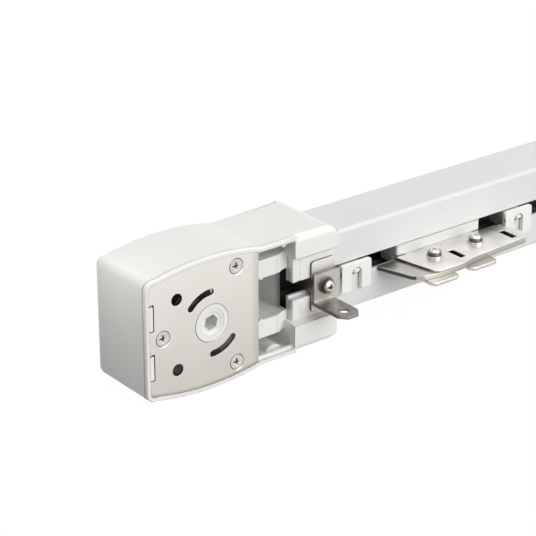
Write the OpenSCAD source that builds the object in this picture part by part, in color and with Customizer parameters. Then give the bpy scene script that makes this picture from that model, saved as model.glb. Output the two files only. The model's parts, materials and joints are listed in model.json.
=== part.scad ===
// Electric curtain track, seen lying on its side: a slotted aluminium rail between a drive housing and
// a return housing, a toothed belt round two pulleys inside, a belt-driven master carrier with a steel
// arm, and free runners with swinging hangers. +X runs along the rail from the drive end, the slotted
// face looks along -Y and the ceiling face along +Y. The origin is on the drive spindle's axis, on the
// outer face of the cover plate.

/* [Track] */
// Distance between the two belt spindles
span = 600; // [500:5:3000]
// Gap between a moulded or cut piece and the pocket that holds it
fit_gap = 0.15; // [0.1:0.05:0.3]
// Radial gap of a screw, pin or bush in its hole
pin_gap = 0.05; // [0.02:0.01:0.08]

/* [Rail] */
// Width across the rail
rail_w = 48; // [44:0.5:52]
// How far the slotted face lies behind the cover plate
rail_face_y = 8.5; // [7.5:0.1:10]
// Thickness of the two lips beside the slot
lip_t = 2; // [1.6:0.1:2.6]
// Width of the slot
slot_w = 8.8; // [8.4:0.1:10]
// Thickness of the rail's side walls
rail_wall = 1.8; // [1.4:0.1:2.4]
// Radius of the rail's outer edges
rail_edge_r = 2.5; // [1:0.1:3]
// Depth of the chamber that the wheels run in
wheel_chamber_d = 12.5; // [12:0.1:14]
// Thickness of the ribs that carry the belt
rib_t = 1.6; // [1.2:0.1:2]
// Width of the opening between the belt ribs
rib_opening = 18; // [17.6:0.1:20]
// Thickness of the web behind the belt
web_t = 1.2; // [1:0.1:2]
// Depth of the ceiling channel behind its lips
channel_d = 2.8; // [2.5:0.1:4]
// Width of the ceiling channel behind its lips
channel_w = 23; // [20:0.5:26]
// Width of the ceiling channel's mouth
channel_mouth = 16; // [14:0.5:18]
// Thickness of the ceiling channel's lips
channel_lip_t = 1.4; // [1.2:0.1:2]

/* [Belt and pulleys] */
// Tooth spacing of the belt
belt_pitch = 5; // [5:1:5]
// Teeth on each pulley
pulley_teeth = 18; // [17:1:19]
// Width of the belt
belt_w = 10; // [8:0.5:11]
// Height of a belt tooth
belt_tooth_h = 1.2; // [1:0.1:1.4]
// Width of a belt tooth
belt_tooth_w = 2.6; // [2:0.1:3]
// Thickness of the belt behind its teeth
belt_back_t = 1.3; // [1:0.1:1.6]
// Gap that keeps the belt clear of the pulley teeth, ribs and clamp
belt_gap = 0.3; // [0.2:0.05:0.4]
// Room behind the belt for the bridge of the belt clamp
bridge_room = 2.7; // [2.5:0.1:3.5]
// How far a pulley flange stands past the belt's back
flange_over = 0.6; // [0.3:0.1:1]
// Thickness of a pulley flange
flange_t = 1.1; // [0.8:0.1:1.5]

/* [Housings] */
// Distance from a spindle to the housing's outer end
end_l = 41; // [40:0.5:45]
// Distance from a spindle to the end of the collar that holds the rail
collar_x1 = 84; // [84:0.5:90]
// Distance from a spindle to the wall at the window's end
window_x1 = 53.7; // [53:0.1:54]
// Distance from a spindle to the tongues' free ends and the bottom of the rail's pocket
collar_x0 = 56.3; // [56:0.1:57]
// Half height of the housing beside the bulge
end_h = 33.3; // [32:0.1:36]
// Half height of the housing at the top of the bulge
bulge_h = 37; // [36.5:0.1:40]
// Half length of the bulge
bulge_half = 33.5; // [26:0.5:34]
// Distance of the bulge's middle from the spindle
bulge_x = -1; // [-2:0.5:2]
// Radius of the housing's outer corners
end_corner_r = 5; // [4.5:0.1:8]
// Radius of the collar's outer corners
collar_corner_r = 9; // [4:0.5:9]
// Radius of the collar's front edges, and of its back edge at the rail
collar_edge_r = 4.5; // [2:0.1:5]
// Thickness of the housing's side walls
shell_wall = 2.2; // [2:0.1:3]
// Thickness of the housing's back wall
shell_back = 2.6; // [2.2:0.1:3]
// Plastic left behind the rail in the collar
collar_back = 1.85; // [1.5:0.05:3]
// How far the rim stands in front of the cover plate
rim_proud = 0.6; // [0.2:0.1:1]
// Width of the rim above and below the cover plate
rim_w = 2.4; // [2:0.1:3]
// Width of the rim at the cover plate's outer end
rim_end_w = 2.2; // [2:0.1:4]
// Width of the ledge under the cover plate's edge
ledge_w = 1.5; // [1:0.1:2]
// Thickness of the ledge
ledge_t = 2; // [1.5:0.1:3]
// Depth of the fine groove behind the rim
groove_d = 0.4; // [0.2:0.1:0.6]
// Height of the recess in the collar's front above the middle line
recess_h = 20.2; // [19:0.1:21]
// Distance of the recess's sloping foot below the middle line, at the tongues' level
recess_foot = 17.2; // [16:0.1:19]
// Distance of the recess's sloping foot below the middle line, at the collar's front
recess_front = 18; // [17:0.5:22]
// Plastic left in front of the rail beside the slot
tongue_t = 3.65; // [3:0.05:4]
// Distance of the lower tongue's edge below the middle line
tongue_low = 5.8; // [4.5:0.1:6.5]
// Distance of the groove in each tongue from its free end
tongue_groove_x = 3.4; // [3:0.1:5]
// Width of the groove in each tongue
tongue_groove_w = 1.8; // [1:0.1:2.2]
// Depth of the groove in each tongue
tongue_groove_d = 0.4; // [0.3:0.1:0.8]
// Radius of the boss at the window's foot
boss_r = 6.5; // [5:0.1:7]
// Distance of the boss's middle from the spindle along the rail
boss_x = 44.5; // [43:0.1:46]
// Height of the boss's middle, below the housing's foot
boss_z = -34.6; // [-36:0.1:-34]
// Depth of the boss's face behind the cover plate
boss_y = 6; // [4:0.1:8]
// Depth where the wall across the passage starts, behind the cover plate
cross_wall_y = 12.3; // [11.5:0.1:14]

/* [Cover plate] */
// Thickness of the cover plate
plate_t = 1.5; // [1.2:0.1:2]
// Distance from the spindle to the plate's straight edge
plate_x1 = 30; // [28:0.5:32]
// Distance of the two edge screws from the spindle along the rail
screw_x = 15.9; // [14:0.1:18]
// Distance of the two edge screws from the middle line
screw_z = 27; // [26:0.1:28]
// Distance of the outer screw from the spindle
screw_end_x = 30.2; // [29:0.1:31]
// Radius of the dimple round each screw head
dimple_r = 4.65; // [4.4:0.05:5]
// Radius of the countersunk heads
head_r = 4; // [3.6:0.1:4.2]
// How far the heads lie below the plate's face
head_drop = 0.3; // [0.2:0.05:0.4]
// Radius of the cover screws
cover_screw_r = 1.45; // [1.2:0.05:1.8]
// Length of the cover screws
cover_screw_l = 14; // [10:0.5:20]
// Radius of the posts that take the cover screws
post_r = 4.2; // [4:0.1:4.6]
// Radius of the two motor fixing holes
motor_hole_r = 3.3; // [3:0.1:3.6]
// Distance of the motor holes from the spindle along the rail
motor_hole_x = 21.6; // [20:0.1:22]
// Distance between the two motor holes
motor_hole_gap = 39; // [37:0.5:40]
// How far the pair of motor holes sits below the middle line
motor_hole_drop = 0.4; // [0:0.1:1]
// Radius of the arc slots' middle line
arc_r = 17.4; // [16.5:0.1:18]
// Width of the arc slots
arc_w = 3.7; // [2.5:0.1:4]
// Angle that an arc slot covers
arc_sweep = 47; // [30:1:55]
// Angle where the upper arc slot starts
arc_start = 91.5; // [90:0.5:95]
// Height of an edge notch and the lug that fills it
lug_h = 14.9; // [12:0.1:16]
// Heights of the two lugs' middles above the middle line
lug_z = [12.9, -14.3]; // [-16:0.1:16]
// Gap between a lug and its notch, twice as large above the lug
lug_gap = 0.5; // [0.1:0.05:0.6]
// Depth of an edge notch
lug_d = 3.3; // [2:0.1:4]

/* [Drive spindle] */
// Radius of the white bush in the cover plate
bush_r = 10.2; // [10:0.1:11]
// Gap between the bush and the plate round it
bush_gap = 0.3; // [0.1:0.05:0.4]
// Radius of the bush's flange behind the plate
bush_flange_r = 12; // [11.5:0.1:14]
// Thickness of the bush's flange
bush_flange_t = 2; // [1.5:0.1:3]
// Radius of the spindle in the bush
spindle_r = 7.5; // [7.2:0.1:8]
// Radius of the shallow dish in the spindle's face
dish_r = 6.2; // [6:0.1:6.6]
// Width across flats of the spindle's drive socket
socket_af = 7.6; // [6:0.1:8]
// Depth of the drive socket
socket_d = 14; // [10:0.5:18]
// Angle by which the socket is turned as it stands
socket_turn = 15; // [0:1:60]
// Radius across corners of the seat that carries the pulley
seat_r = 7.5; // [7:0.1:8]
// Radius of the spindle's rear end
tail_r = 6; // [5:0.1:6.5]
// Radius of the rear bush
rear_bush_r = 8.5; // [8:0.1:9]
// Height of the rear bush
rear_bush_h = 5.2; // [4:0.1:5.4]
// Wall of the ring that holds the rear bush
socket_ring_t = 2.4; // [2:0.1:3]
// Radius of the return pulley's axle
return_axle_r = 4; // [3:0.1:5]
// Wall of the return pulley's brass bushes
return_bush_t = 2; // [1.5:0.1:2.5]

/* [Belt guides] */
// Distance from a spindle to the start of a guide
guide_x0 = 27; // [26:0.5:28]
// Distance from a spindle to the end of a guide
guide_x1 = 47; // [46:0.1:48]
// Distance from a spindle to the shoulder of the housing's cheeks behind a guide
cheek_x1 = 52.2; // [51:0.1:53]
// Distance of a guide's front behind the cover plate
guide_front_y = 6.5; // [6:0.1:8]
// How far the cheeks fall back from a guide's front towards the rail
cheek_drop = 2.3; // [1.5:0.1:3]
// Half height of the passage between the guide's blocks
guide_in = 12; // [11:0.1:12.5]
// Half height over the guide's blocks
guide_out = 22.3; // [21:0.1:24]
// Thickness of the guide's base
guide_base_t = 2.8; // [2:0.1:3.5]

/* [End brackets] */
// Thickness of the bracket's sheet and of the clamp plate
sheet_t = 1.7; // [1.2:0.1:2]
// Distance of the bracket screw from the spindle
bracket_x = 76.2; // [75:0.1:76.4]
// Distance of the bracket screw below the middle line
bracket_drop = 0.8; // [0:0.1:1]
// Distance of the bracket face's left edge from the spindle
bracket_x0 = 68; // [67.8:0.1:68.2]
// Width of the bracket's face
bracket_w = 17.8; // [16:0.1:17.9]
// Height of the bracket's face above its screw
bracket_top = 7.8; // [7:0.1:9]
// Height of the bracket's face below its screw
bracket_bottom = 8; // [7:0.1:9]
// Distance of the tab's middle line from the spindle
tab_x = 74.3; // [73:0.1:75]
// Width of the bracket's tab
tab_w = 14; // [12:0.1:15]
// Reach of the tab in front of the cover plate
tab_reach = 23.5; // [20:0.5:26]
// Width of the tab's clipped end
tab_end_w = 7; // [6.5:0.1:9]
// Distance of the eye from the cover plate's face
eye_y = 15.8; // [13:0.1:18]
// Radius of the eye
eye_r = 2.8; // [2:0.1:3]
// Depth to which the bracket's leaf reaches
leaf_y1 = 15; // [13:0.5:18]
// Width of the clamp plate
clamp_w = 16; // [15:0.1:16]
// Half height of the clamp plate
clamp_h = 14.6; // [13:0.1:16]
// Height of the nut plate
nut_plate_h = 18; // [14:0.5:24]
// Thickness of the nut plate
nut_plate_t = 3; // [2:0.1:4]
// Radius of the bracket screw and the arm screws
pan_screw_r = 1.95; // [1.5:0.05:2]
// Radius of a pan head
pan_head_r = 3.8; // [3.6:0.1:4.2]
// Height of a pan head
pan_head_h = 3.4; // [2.4:0.1:3.6]
// Radius of a washer
washer_r = 4.7; // [4.4:0.1:5]
// Thickness of a washer
washer_t = 1.1; // [0.6:0.1:1.4]

/* [Wheels] */
// Radius of a wheel
wheel_r = 5; // [4.6:0.05:5.2]
// Width of a wheel
wheel_w = 4; // [3:0.1:6]
// Gap between a wheel and the lip that it runs on
wheel_gap = 0.2; // [0.1:0.05:0.3]
// Gap between a wheel and the carriage
wheel_side_gap = 0.6; // [0.3:0.1:1]
// Radius of a wheel axle
axle_r = 1.5; // [1.2:0.05:1.8]
// Half height of a carriage between its wheels
carriage_h = 7.6; // [7:0.1:8]
// Gap on each side of what passes through the slot
slot_gap = 0.5; // [0.3:0.05:0.7]

/* [Master carrier] */
// Distance of the carrier's middle from the drive spindle
carrier_x = 164; // [164:0.5:166]
// Length of the carrier's body
carrier_l = 62; // [60:0.5:64]
// Distance between the two wheel axles
carrier_base = 44; // [42:0.5:46]
// Distance from the carrier's middle to the arm's left edge at the slot
arm_left = 32.5; // [31:0.5:34]
// Distance from the carrier's middle to the arm's left front corner
arm_left_front = 27.5; // [26:0.5:30]
// Distance from the carrier's middle to the lower sheet's left edge at the slot
sheet_left = 45.8; // [40:0.1:46]
// Distance from the carrier's middle to the arm's right end
arm_right = 48; // [46:0.5:48]
// Reach of the arm's left front in front of the cover plate
arm_reach_left = 20; // [18:0.5:22]
// Reach of the arm's right front in front of the cover plate
arm_reach_right = 15.5; // [14:0.5:18]
// Radius of the arm's right end
arm_end_r = 5.5; // [4:0.5:7]
// Thickness of the arm's upper sheet
arm_t = 1.5; // [1.2:0.1:1.6]
// Thickness of the arm's lower sheet
sheet_low_t = 2.6; // [1.2:0.1:2.8]
// Distance of the arm's upper face below the middle line
arm_drop = 2.2; // [2:0.1:2.3]
// Width of the arm's tongue that enters the carrier
arm_tongue_w = 50; // [44:0.5:56]
// Depth to which the arm's tongue enters the rail, behind the cover plate
arm_tongue_y = 13.5; // [12.8:0.1:13.6]
// Length of the arm's two hook slots
hook_slot_l = 11; // [10:0.5:12]
// Width of the arm's two hook slots
hook_slot_w = 4; // [2.5:0.1:4.5]
// Distances of the hook slots from the carrier's middle
hook_slot_at = [-2.6, 38.7]; // [-10:0.1:40]
// Distances of the hook slots' front ends in front of the cover plate
hook_slot_y = [14.2, 12]; // [11:0.1:15]
// Distances of the arm screws from the carrier's middle
arm_screw_at = [-14.6, 16.8]; // [-24:0.1:18]
// Distances of the arm screws in front of the cover plate
arm_screw_y = [3.7, 3.3]; // [3:0.1:6]
// Distances of the two jaws' middles from the carrier's middle
jaw_at = [-23.8, 6.5]; // [-26:0.1:8]
// Width of a jaw
jaw_w = 19.8; // [18:0.1:22]
// Reaches of the two jaws in front of the cover plate
jaw_reach = [24.6, 22.8]; // [20:0.1:26]
// Thickness of a jaw
jaw_t = 2.2; // [2:0.1:3.5]
// Depth of a jaw's inner edge behind the cover plate
jaw_inner = 2; // [1:0.5:4]
// Length of the belt clamp
belt_clamp_l = 16; // [12:0.5:20]
// Wall of the belt clamp's jaws
belt_clamp_t = 2.5; // [2:0.1:3]

/* [Runners] */
// Distance of the near runner's middle from the drive spindle
near_runner_x = 101.5; // [98:0.5:103]
// Distance of the second runner's middle from the carrier's middle
next_runner_dx = 59.5; // [59.5:0.5:62]
// Distance between the two runners parked at the far end
parked_spacing = 24; // [22:0.5:26]
// Distance of the last runner's middle from the return spindle
last_runner_dx = 108; // [106:0.5:114]
// Length of a runner's carriage
runner_l = 13; // [12:0.5:16]
// Width of a hanger
hanger_w = 21; // [18:0.5:21]
// Thickness of a hanger
hanger_t = 2.6; // [2.4:0.1:3]
// Gap between a hanger and the rail's face
hanger_gap = 0.3; // [0.2:0.05:0.5]
// Height of a hanger's top above the middle line
hanger_top = 4; // [3.6:0.1:4]
// Reach of a hanger's legs below the middle line
hanger_drop = 12.5; // [10:0.5:16]
// Width of a hanger's notch
notch_w = 7; // [6:0.1:8]
// Distance of the hanger pin below the middle line
hinge_drop = 1.2; // [1:0.05:1.2]
// Radius of the hanger pin
hinge_pin_r = 0.8; // [0.6:0.05:0.9]
// Radius of the eye that holds the hanger pin
hinge_eye_r = 1.4; // [1.3:0.05:1.4]
// Width of the eye that holds the hanger pin
hinge_eye_w = 3.4; // [3:0.1:3.6]
// Thickness of the shelf that carries the eye
shelf_t = 1.3; // [1:0.1:1.3]

/* [Hidden] */
$fn = 64;
// A small length that cuts reach past a face
over = 1;

// Depths of the rail's faces, from the slot to the ceiling
lip_y = rail_face_y + lip_t;
rib_y0 = lip_y + wheel_chamber_d;
rib_y1 = rib_y0 + rib_t;
belt_y0 = rib_y1 + belt_gap;
belt_y1 = belt_y0 + belt_w;
web_y0 = belt_y1 + bridge_room;
web_y1 = web_y0 + web_t;
channel_y1 = web_y1 + channel_d;
rail_y1 = channel_y1 + channel_lip_t;
rail_x0 = collar_x0 + fit_gap;
rail_x1 = span - rail_x0;
rail_h = rail_w / 2;
inner_h = rail_h - rail_wall;
slot_h = slot_w / 2;
neck_h = slot_h - slot_gap;

// Belt line round the pulleys
pitch_r = pulley_teeth * belt_pitch / (2 * PI);
pulley_r = pitch_r - 0.5;
belt_tip_r = pulley_r + belt_gap;
belt_root_r = belt_tip_r + belt_tooth_h;
belt_back_r = belt_root_r + belt_back_t;
flange_r = belt_back_r + flange_over;
flange_y0 = belt_y0 - belt_gap - flange_t;
flange_y1 = belt_y1 + belt_gap + flange_t;
run_teeth = floor(span / belt_pitch);

// Depths of the housing's faces
front_y = -rim_proud;
end_y1 = rail_y1 + fit_gap + collar_back;
floor_y = end_y1 - shell_back;
tongue_y = rail_face_y - fit_gap - tongue_t;
cheek_y1 = guide_front_y + fit_gap + cheek_drop;
bulge_sag = bulge_h - end_h;
bulge_r = (bulge_half * bulge_half + bulge_sag * bulge_sag) / (2 * bulge_sag);
screw_spots = [[screw_x, screw_z], [screw_x, -screw_z], [-screw_end_x, 0]];
rear_bush_y = floor_y - rear_bush_h;

// End bracket's stack in front of the tongues
clamp_y0 = tongue_y - sheet_t;
bracket_y0 = clamp_y0 - sheet_t;

// Carriages
wheel_y = lip_y + wheel_gap + wheel_r;
wheel_z = carriage_h + wheel_side_gap;
carriage_y0 = lip_y + 2.5;
carriage_y1 = rib_y0 - 0.6;
arm_z1 = -arm_drop;
arm_z = arm_z1 - arm_t;
arm_z0 = arm_z - sheet_low_t;
arm_y1 = rail_face_y - 0.4;
clamp_base_y = rib_y1 + 0.4;
hinge_y = rail_face_y - hanger_gap - hanger_t / 2;
runner_at = [
    near_runner_x,
    carrier_x + next_runner_dx,
    span - last_runner_dx - parked_spacing,
    span - last_runner_dx
];

// Extrudes a shape drawn across the rail, as x and z, from depth y0 to depth y1
module along_y(y0, y1) {
    translate([0, y1, 0])
        rotate([90, 0, 0])
            linear_extrude(height = y1 - y0)
                children();
}

// Extrudes a profile drawn as y and z from x0 to x1
module along_x(x0, x1) {
    translate([x0, 0, 0])
        rotate([90, 0, 90])
            linear_extrude(height = x1 - x0)
                children();
}

// Extrudes a sheet drawn as x and y from z0 to z1
module along_z(z0, z1) {
    translate([0, 0, z0])
        linear_extrude(height = z1 - z0)
            children();
}

// Round bar along Y at x and z
module bar_y(x, z, r, y0, y1) {
    translate([x, y1, z])
        rotate([90, 0, 0])
            cylinder(r = r, h = y1 - y0);
}

// Round bar along X at y and z
module bar_x(y, z, r, x0, x1) {
    translate([x0, y, z])
        rotate([0, 90, 0])
            cylinder(r = r, h = x1 - x0);
}

// Round bar along Z at x and y
module bar_z(x, y, r, z0, z1) {
    translate([x, y, z0])
        cylinder(r = r, h = z1 - z0);
}

// Block between two corners
module block(low, high) {
    translate(low)
        cube(high - low);
}

// Rectangle between two corners with corners of radius r
module round_rect(x0, y0, x1, y1, r) {
    translate([x0 + r, y0])
        square([x1 - x0 - 2 * r, y1 - y0]);
    translate([x0, y0 + r])
        square([x1 - x0, y1 - y0 - 2 * r]);
    for (x = [x0 + r, x1 - r], y = [y0 + r, y1 - r])
        translate([x, y])
            circle(r = r);
}

// The same piece at both ends: as drawn at the drive end, mirrored at the return end
module return_end() {
    translate([span, 0, 0])
        mirror([1, 0, 0])
            children();
}

// Outline of an end housing, drawn in by inset and at its outer end by end_inset
module end_outline(inset, end_inset) {
    h = end_h - inset;
    r = max(end_corner_r - inset, 0.5);
    round_rect(-end_l + end_inset, -h, collar_x0, h, r);
    round_rect(0, -h, collar_x1 - inset, h, collar_corner_r);
    intersection() {
        for (side = [1, -1])
            intersection_for (flip = [1, -1])
                translate([bulge_x, flip * (bulge_h - bulge_r)])
                    circle(r = bulge_r - inset);
        translate([bulge_x - bulge_half, -bulge_h])
            square([2 * bulge_half, 2 * bulge_h]);
    }
}

// The part of an end outline that lies left of x1
module end_outline_to(inset, end_inset, x1) {
    intersection() {
        end_outline(inset, end_inset);
        translate([-end_l, -bulge_h])
            square([x1 + end_l, 2 * bulge_h]);
    }
}

// Cross-shaped recess of a screw head, cut along Z from z = 0 down
module cross_recess(size, depth) {
    for (turn = [0, 90])
        rotate(turn)
            translate([-size / 2, -0.45, -depth])
                cube([size, 0.9, depth + over]);
}

// Countersunk screw along +Y with its head's face at depth head_drop
module cover_screw(x, z) {
    cone_h = head_r - cover_screw_r;
    translate([x, head_drop, z])
        rotate([-90, 0, 0])
            difference() {
                union() {
                    cylinder(r1 = head_r, r2 = cover_screw_r, h = cone_h);
                    cylinder(r = cover_screw_r, h = cover_screw_l);
                }
                rotate([180, 0, 0])
                    cross_recess(4.4, 1.4);
            }
}

// Countersunk hole for a cover screw, with its widest part at the plate's face
module cover_screw_hole(x, z, depth) {
    hole_r = cover_screw_r + pin_gap;
    translate([x, 0, z])
        rotate([-90, 0, 0]) {
            cylinder(r1 = dimple_r, r2 = hole_r, h = dimple_r - hole_r);
            cylinder(r = hole_r, h = depth);
        }
}

// Pan-head screw pointing down from z = 0, its domed head above
module pan_screw(length) {
    difference() {
        union() {
            intersection() {
                cylinder(r = pan_head_r, h = pan_head_h);
                translate([0, 0, pan_head_h - 6.5])
                    sphere(r = 6.5);
            }
            translate([0, 0, -length])
                cylinder(r = pan_screw_r, h = length + 0.5);
        }
        translate([0, 0, pan_head_h])
            cross_recess(4.6, 1.7);
    }
}

// Solid outside of an end housing with its rounded collar
module end_outside() {
    along_y(front_y, end_y1)
        end_outline_to(0, 0, window_x1 + over);
    intersection() {
        along_y(front_y, end_y1)
            end_outline(0, 0);
        along_x(window_x1, collar_x1)
            round_rect(front_y, -end_h, end_y1 + 2 * collar_edge_r, end_h, collar_edge_r);
        along_z(-end_h, end_h)
            union() {
                round_rect(0, front_y, collar_x1, end_y1 - collar_edge_r, collar_edge_r / 2);
                round_rect(0, rail_face_y, collar_x1, end_y1, collar_edge_r);
            }
    }
}

// End housing: a tray for the belt pulley with a collar that grips the rail
module end_shell() {
    ledge_y1 = plate_t + ledge_t;
    rail_g = rail_h + fit_gap;
    difference() {
        union() {
            difference() {
                end_outside();
                along_y(front_y - over, plate_t)
                    end_outline_to(rim_w, rim_end_w, window_x1);
                along_y(plate_t - over, ledge_y1 + over)
                    end_outline_to(rim_w + ledge_w, rim_end_w + ledge_w, window_x1);
                along_y(ledge_y1, floor_y)
                    end_outline_to(shell_wall, shell_wall, window_x1);
                along_y(plate_t, plate_t + 0.6)
                    difference() {
                        end_outline_to(-over, -over, window_x1);
                        end_outline(groove_d, groove_d);
                    }
                along_x(window_x1 - over, collar_x1 + over)
                    polygon([
                        [front_y - over, recess_h], [front_y - over, -recess_front],
                        [front_y, -recess_front], [tongue_y, -recess_foot], [tongue_y, recess_h]
                    ]);
                block([window_x1 - over, tongue_y - over, -recess_foot], [collar_x0, cheek_y1, recess_h]);
            }
            end_posts();
            end_lugs();
            end_cheeks();
        }
        along_x(collar_x0, collar_x1 + over)
            round_rect(rail_face_y - fit_gap, -rail_g, rail_y1 + fit_gap, rail_g, rail_edge_r + fit_gap);
        block([window_x1 - over, front_y, -tongue_low], [collar_x1 + over, rail_face_y, slot_h]);
        tongue_grooves();
        along_z(-guide_in, guide_in)
            polygon([
                [window_x1 - over, rail_face_y - over], [window_x1 - over, cross_wall_y],
                [window_x1, cross_wall_y], [collar_x0 + over, cross_wall_y + 5.5],
                [collar_x0 + over, rail_face_y - over]
            ]);
        belt_slits(guide_x1, collar_x0 + over);
        for (spot = screw_spots)
            cover_screw_hole(spot[0], spot[1], cover_screw_l + 1.5);
    }
}

// Slits from x0 to x1 that let both belt runs pass
module belt_slits(x0, x1) {
    slit_z0 = belt_tip_r - belt_gap - 0.1;
    slit_z1 = belt_back_r + belt_gap + 0.1;
    for (side = [-1, 1])
        block(
            [x0 - over, belt_y0 - belt_gap, side > 0 ? slit_z0 : -slit_z1],
            [x1 + over, belt_y1 + belt_gap, side > 0 ? slit_z1 : -slit_z0]
        );
}

// Posts under the cover screws, each with a web to the nearest wall
module end_posts() {
    for (spot = screw_spots)
        bar_y(spot[0], spot[1], post_r, plate_t, floor_y + over);
    for (side = [-1, 1])
        block(
            [screw_x - 1, plate_t, side > 0 ? screw_z : -bulge_h + rim_w],
            [screw_x + 1, floor_y + over, side > 0 ? bulge_h - rim_w : -screw_z]
        );
    block([-end_l + over, plate_t, -1], [-screw_end_x, floor_y + over, 1]);
}

// Lugs in the cover plate's edge notches, with the boss and the small lug beside the window
module end_lugs() {
    x1 = -end_l + rim_end_w + lug_d - lug_gap;
    for (z = lug_z)
        block(
            [-end_l + over, 0, z - lug_h / 2 + lug_gap],
            [x1, ledge_t + plate_t, z + lug_h / 2 - 2 * lug_gap]
        );
    intersection() {
        bar_y(boss_x, boss_z, boss_r, boss_y, floor_y + over);
        block([guide_x0, boss_y - over, -end_h + over], [window_x1 + over, floor_y + 2 * over, 0]);
    }
    block([45.5, 0, end_h - rim_w - 1.6], [48, plate_t, end_h - 1]);
}

// Cheeks on both sides of the passage that carry on the belt guide's blocks to the rail
module end_cheeks() {
    x0 = guide_x1 + fit_gap;
    y0 = guide_front_y + fit_gap;
    for (side = [-1, 1])
        along_z(side > 0 ? guide_in : -guide_out, side > 0 ? guide_out : -guide_in)
            polygon([
                [x0, y0], [(x0 + cheek_x1) / 2, y0 + 0.3], [cheek_x1, cheek_y1 - 0.5],
                [window_x1 + over, cheek_y1], [window_x1 + over, floor_y + over], [x0, floor_y + over]
            ]);
}

// Grooves across the two tongues that lie in front of the rail
module tongue_grooves() {
    x0 = collar_x0 + tongue_groove_x;
    for (side = [-1, 1])
        block(
            [x0, tongue_y - over, side > 0 ? slot_h - over : -recess_foot + 1.2],
            [x0 + tongue_groove_w, tongue_y + tongue_groove_d, side > 0 ? recess_h - 1.2 : -tongue_low - 2.5]
        );
}

module drive_housing() {
    color("whitesmoke") {
        end_shell();
        difference() {
            bar_y(0, 0, rear_bush_r + socket_ring_t, rear_bush_y, floor_y + over);
            bar_y(0, 0, rear_bush_r + pin_gap, rear_bush_y - over, floor_y);
        }
    }
}

module return_housing() {
    color("whitesmoke")
        return_end() {
            end_shell();
            difference() {
                bar_y(0, 0, return_axle_r + socket_ring_t, flange_y1 + 0.4, floor_y + over);
                bar_y(0, 0, return_axle_r + pin_gap, flange_y1, floor_y);
            }
        }
}

// White insert that leads both belt runs from the pulley to the rail
module belt_guide() {
    difference() {
        union() {
            for (side = [-1, 1])
                block(
                    [guide_x0, guide_front_y, side > 0 ? guide_in : -guide_out],
                    [guide_x1, floor_y, side > 0 ? guide_out : -guide_in]
                );
            block([guide_x0, floor_y - guide_base_t, -guide_in - over], [guide_x1, floor_y, guide_in + over]);
            for (side = [-1, 1])
                block(
                    [guide_x0 + 9, guide_front_y, side > 0 ? guide_in - 0.7 : -guide_in - over],
                    [guide_x0 + 11, belt_y0 - 3, side > 0 ? guide_in + over : -guide_in + 0.7]
                );
        }
        belt_slits(guide_x0, guide_x1);
    }
}

module drive_belt_guide() {
    color("white")
        belt_guide();
}

module return_belt_guide() {
    color("white")
        return_end()
            belt_guide();
}

// Cover plate blank: inside the rim, cut straight at the window, notched for the lugs
module cover_blank() {
    x0 = -end_l + rim_end_w;
    difference() {
        along_y(0, plate_t)
            end_outline_to(rim_w + fit_gap, rim_end_w + fit_gap, plate_x1);
        for (z = lug_z)
            block([x0 - over, -over, z - lug_h / 2], [x0 + lug_d, plate_t + over, z + lug_h / 2]);
        for (spot = screw_spots)
            cover_screw_hole(spot[0], spot[1], plate_t + over);
    }
}

// Slot along an arc about the spindle, with round ends
module arc_slot(start) {
    along_y(-over, plate_t + over) {
        intersection() {
            difference() {
                circle(r = arc_r + arc_w / 2);
                circle(r = arc_r - arc_w / 2);
            }
            polygon([
                [0, 0],
                [3 * arc_r * cos(start), 3 * arc_r * sin(start)],
                [3 * arc_r * cos(start + arc_sweep), 3 * arc_r * sin(start + arc_sweep)]
            ]);
        }
        for (a = [start, start + arc_sweep])
            translate([arc_r * cos(a), arc_r * sin(a)])
                circle(r = arc_w / 2);
    }
}

module cover_plate() {
    color("gainsboro")
        difference() {
            cover_blank();
            bar_y(0, 0, bush_r + bush_gap, -over, plate_t + over);
            for (side = [-1, 1])
                bar_y(
                    -motor_hole_x, side * motor_hole_gap / 2 - motor_hole_drop,
                    motor_hole_r, -over, plate_t + over
                );
            arc_slot(arc_start);
            arc_slot(arc_start + 180);
        }
}

module return_cover() {
    color("gainsboro")
        return_end()
            difference() {
                cover_blank();
                bar_y(0, 0, return_axle_r + pin_gap, -over, plate_t + over);
            }
}

module cover_screws() {
    color("silver")
        for (spot = screw_spots)
            cover_screw(spot[0], spot[1]);
}

module return_screws() {
    color("silver")
        return_end()
            for (spot = screw_spots)
                cover_screw(spot[0], spot[1]);
}

module spindle_bush() {
    color("white")
        difference() {
            union() {
                bar_y(0, 0, bush_r, -0.2, plate_t + bush_flange_t);
                bar_y(0, 0, bush_flange_r, plate_t, plate_t + bush_flange_t);
            }
            bar_y(0, 0, spindle_r + pin_gap, -over, plate_t + bush_flange_t + over);
        }
}

module rear_bush() {
    color("goldenrod")
        difference() {
            bar_y(0, 0, rear_bush_r, rear_bush_y, floor_y);
            bar_y(0, 0, tail_r + pin_gap, rear_bush_y - over, floor_y + over);
        }
}

module drive_hub() {
    socket_r = socket_af / 2 / cos(30);
    color("white")
        difference() {
            union() {
                bar_y(0, 0, spindle_r, 0, flange_y0);
                translate([0, flange_y1, 0])
                    rotate([90, 0, 0])
                        cylinder(r = seat_r, h = flange_y1 - flange_y0 + over, $fn = 6);
                bar_y(0, 0, tail_r, flange_y1 - over, floor_y - 0.3);
            }
            translate([0, -0.01, 0])
                rotate([-90, 0, 0])
                    cylinder(r1 = dish_r, r2 = dish_r - 0.7, h = 0.7);
            translate([0, socket_d, 0])
                rotate([90, 0, 0])
                    rotate(socket_turn)
                        cylinder(r = socket_r, h = socket_d + over, $fn = 6);
        }
}

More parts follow.
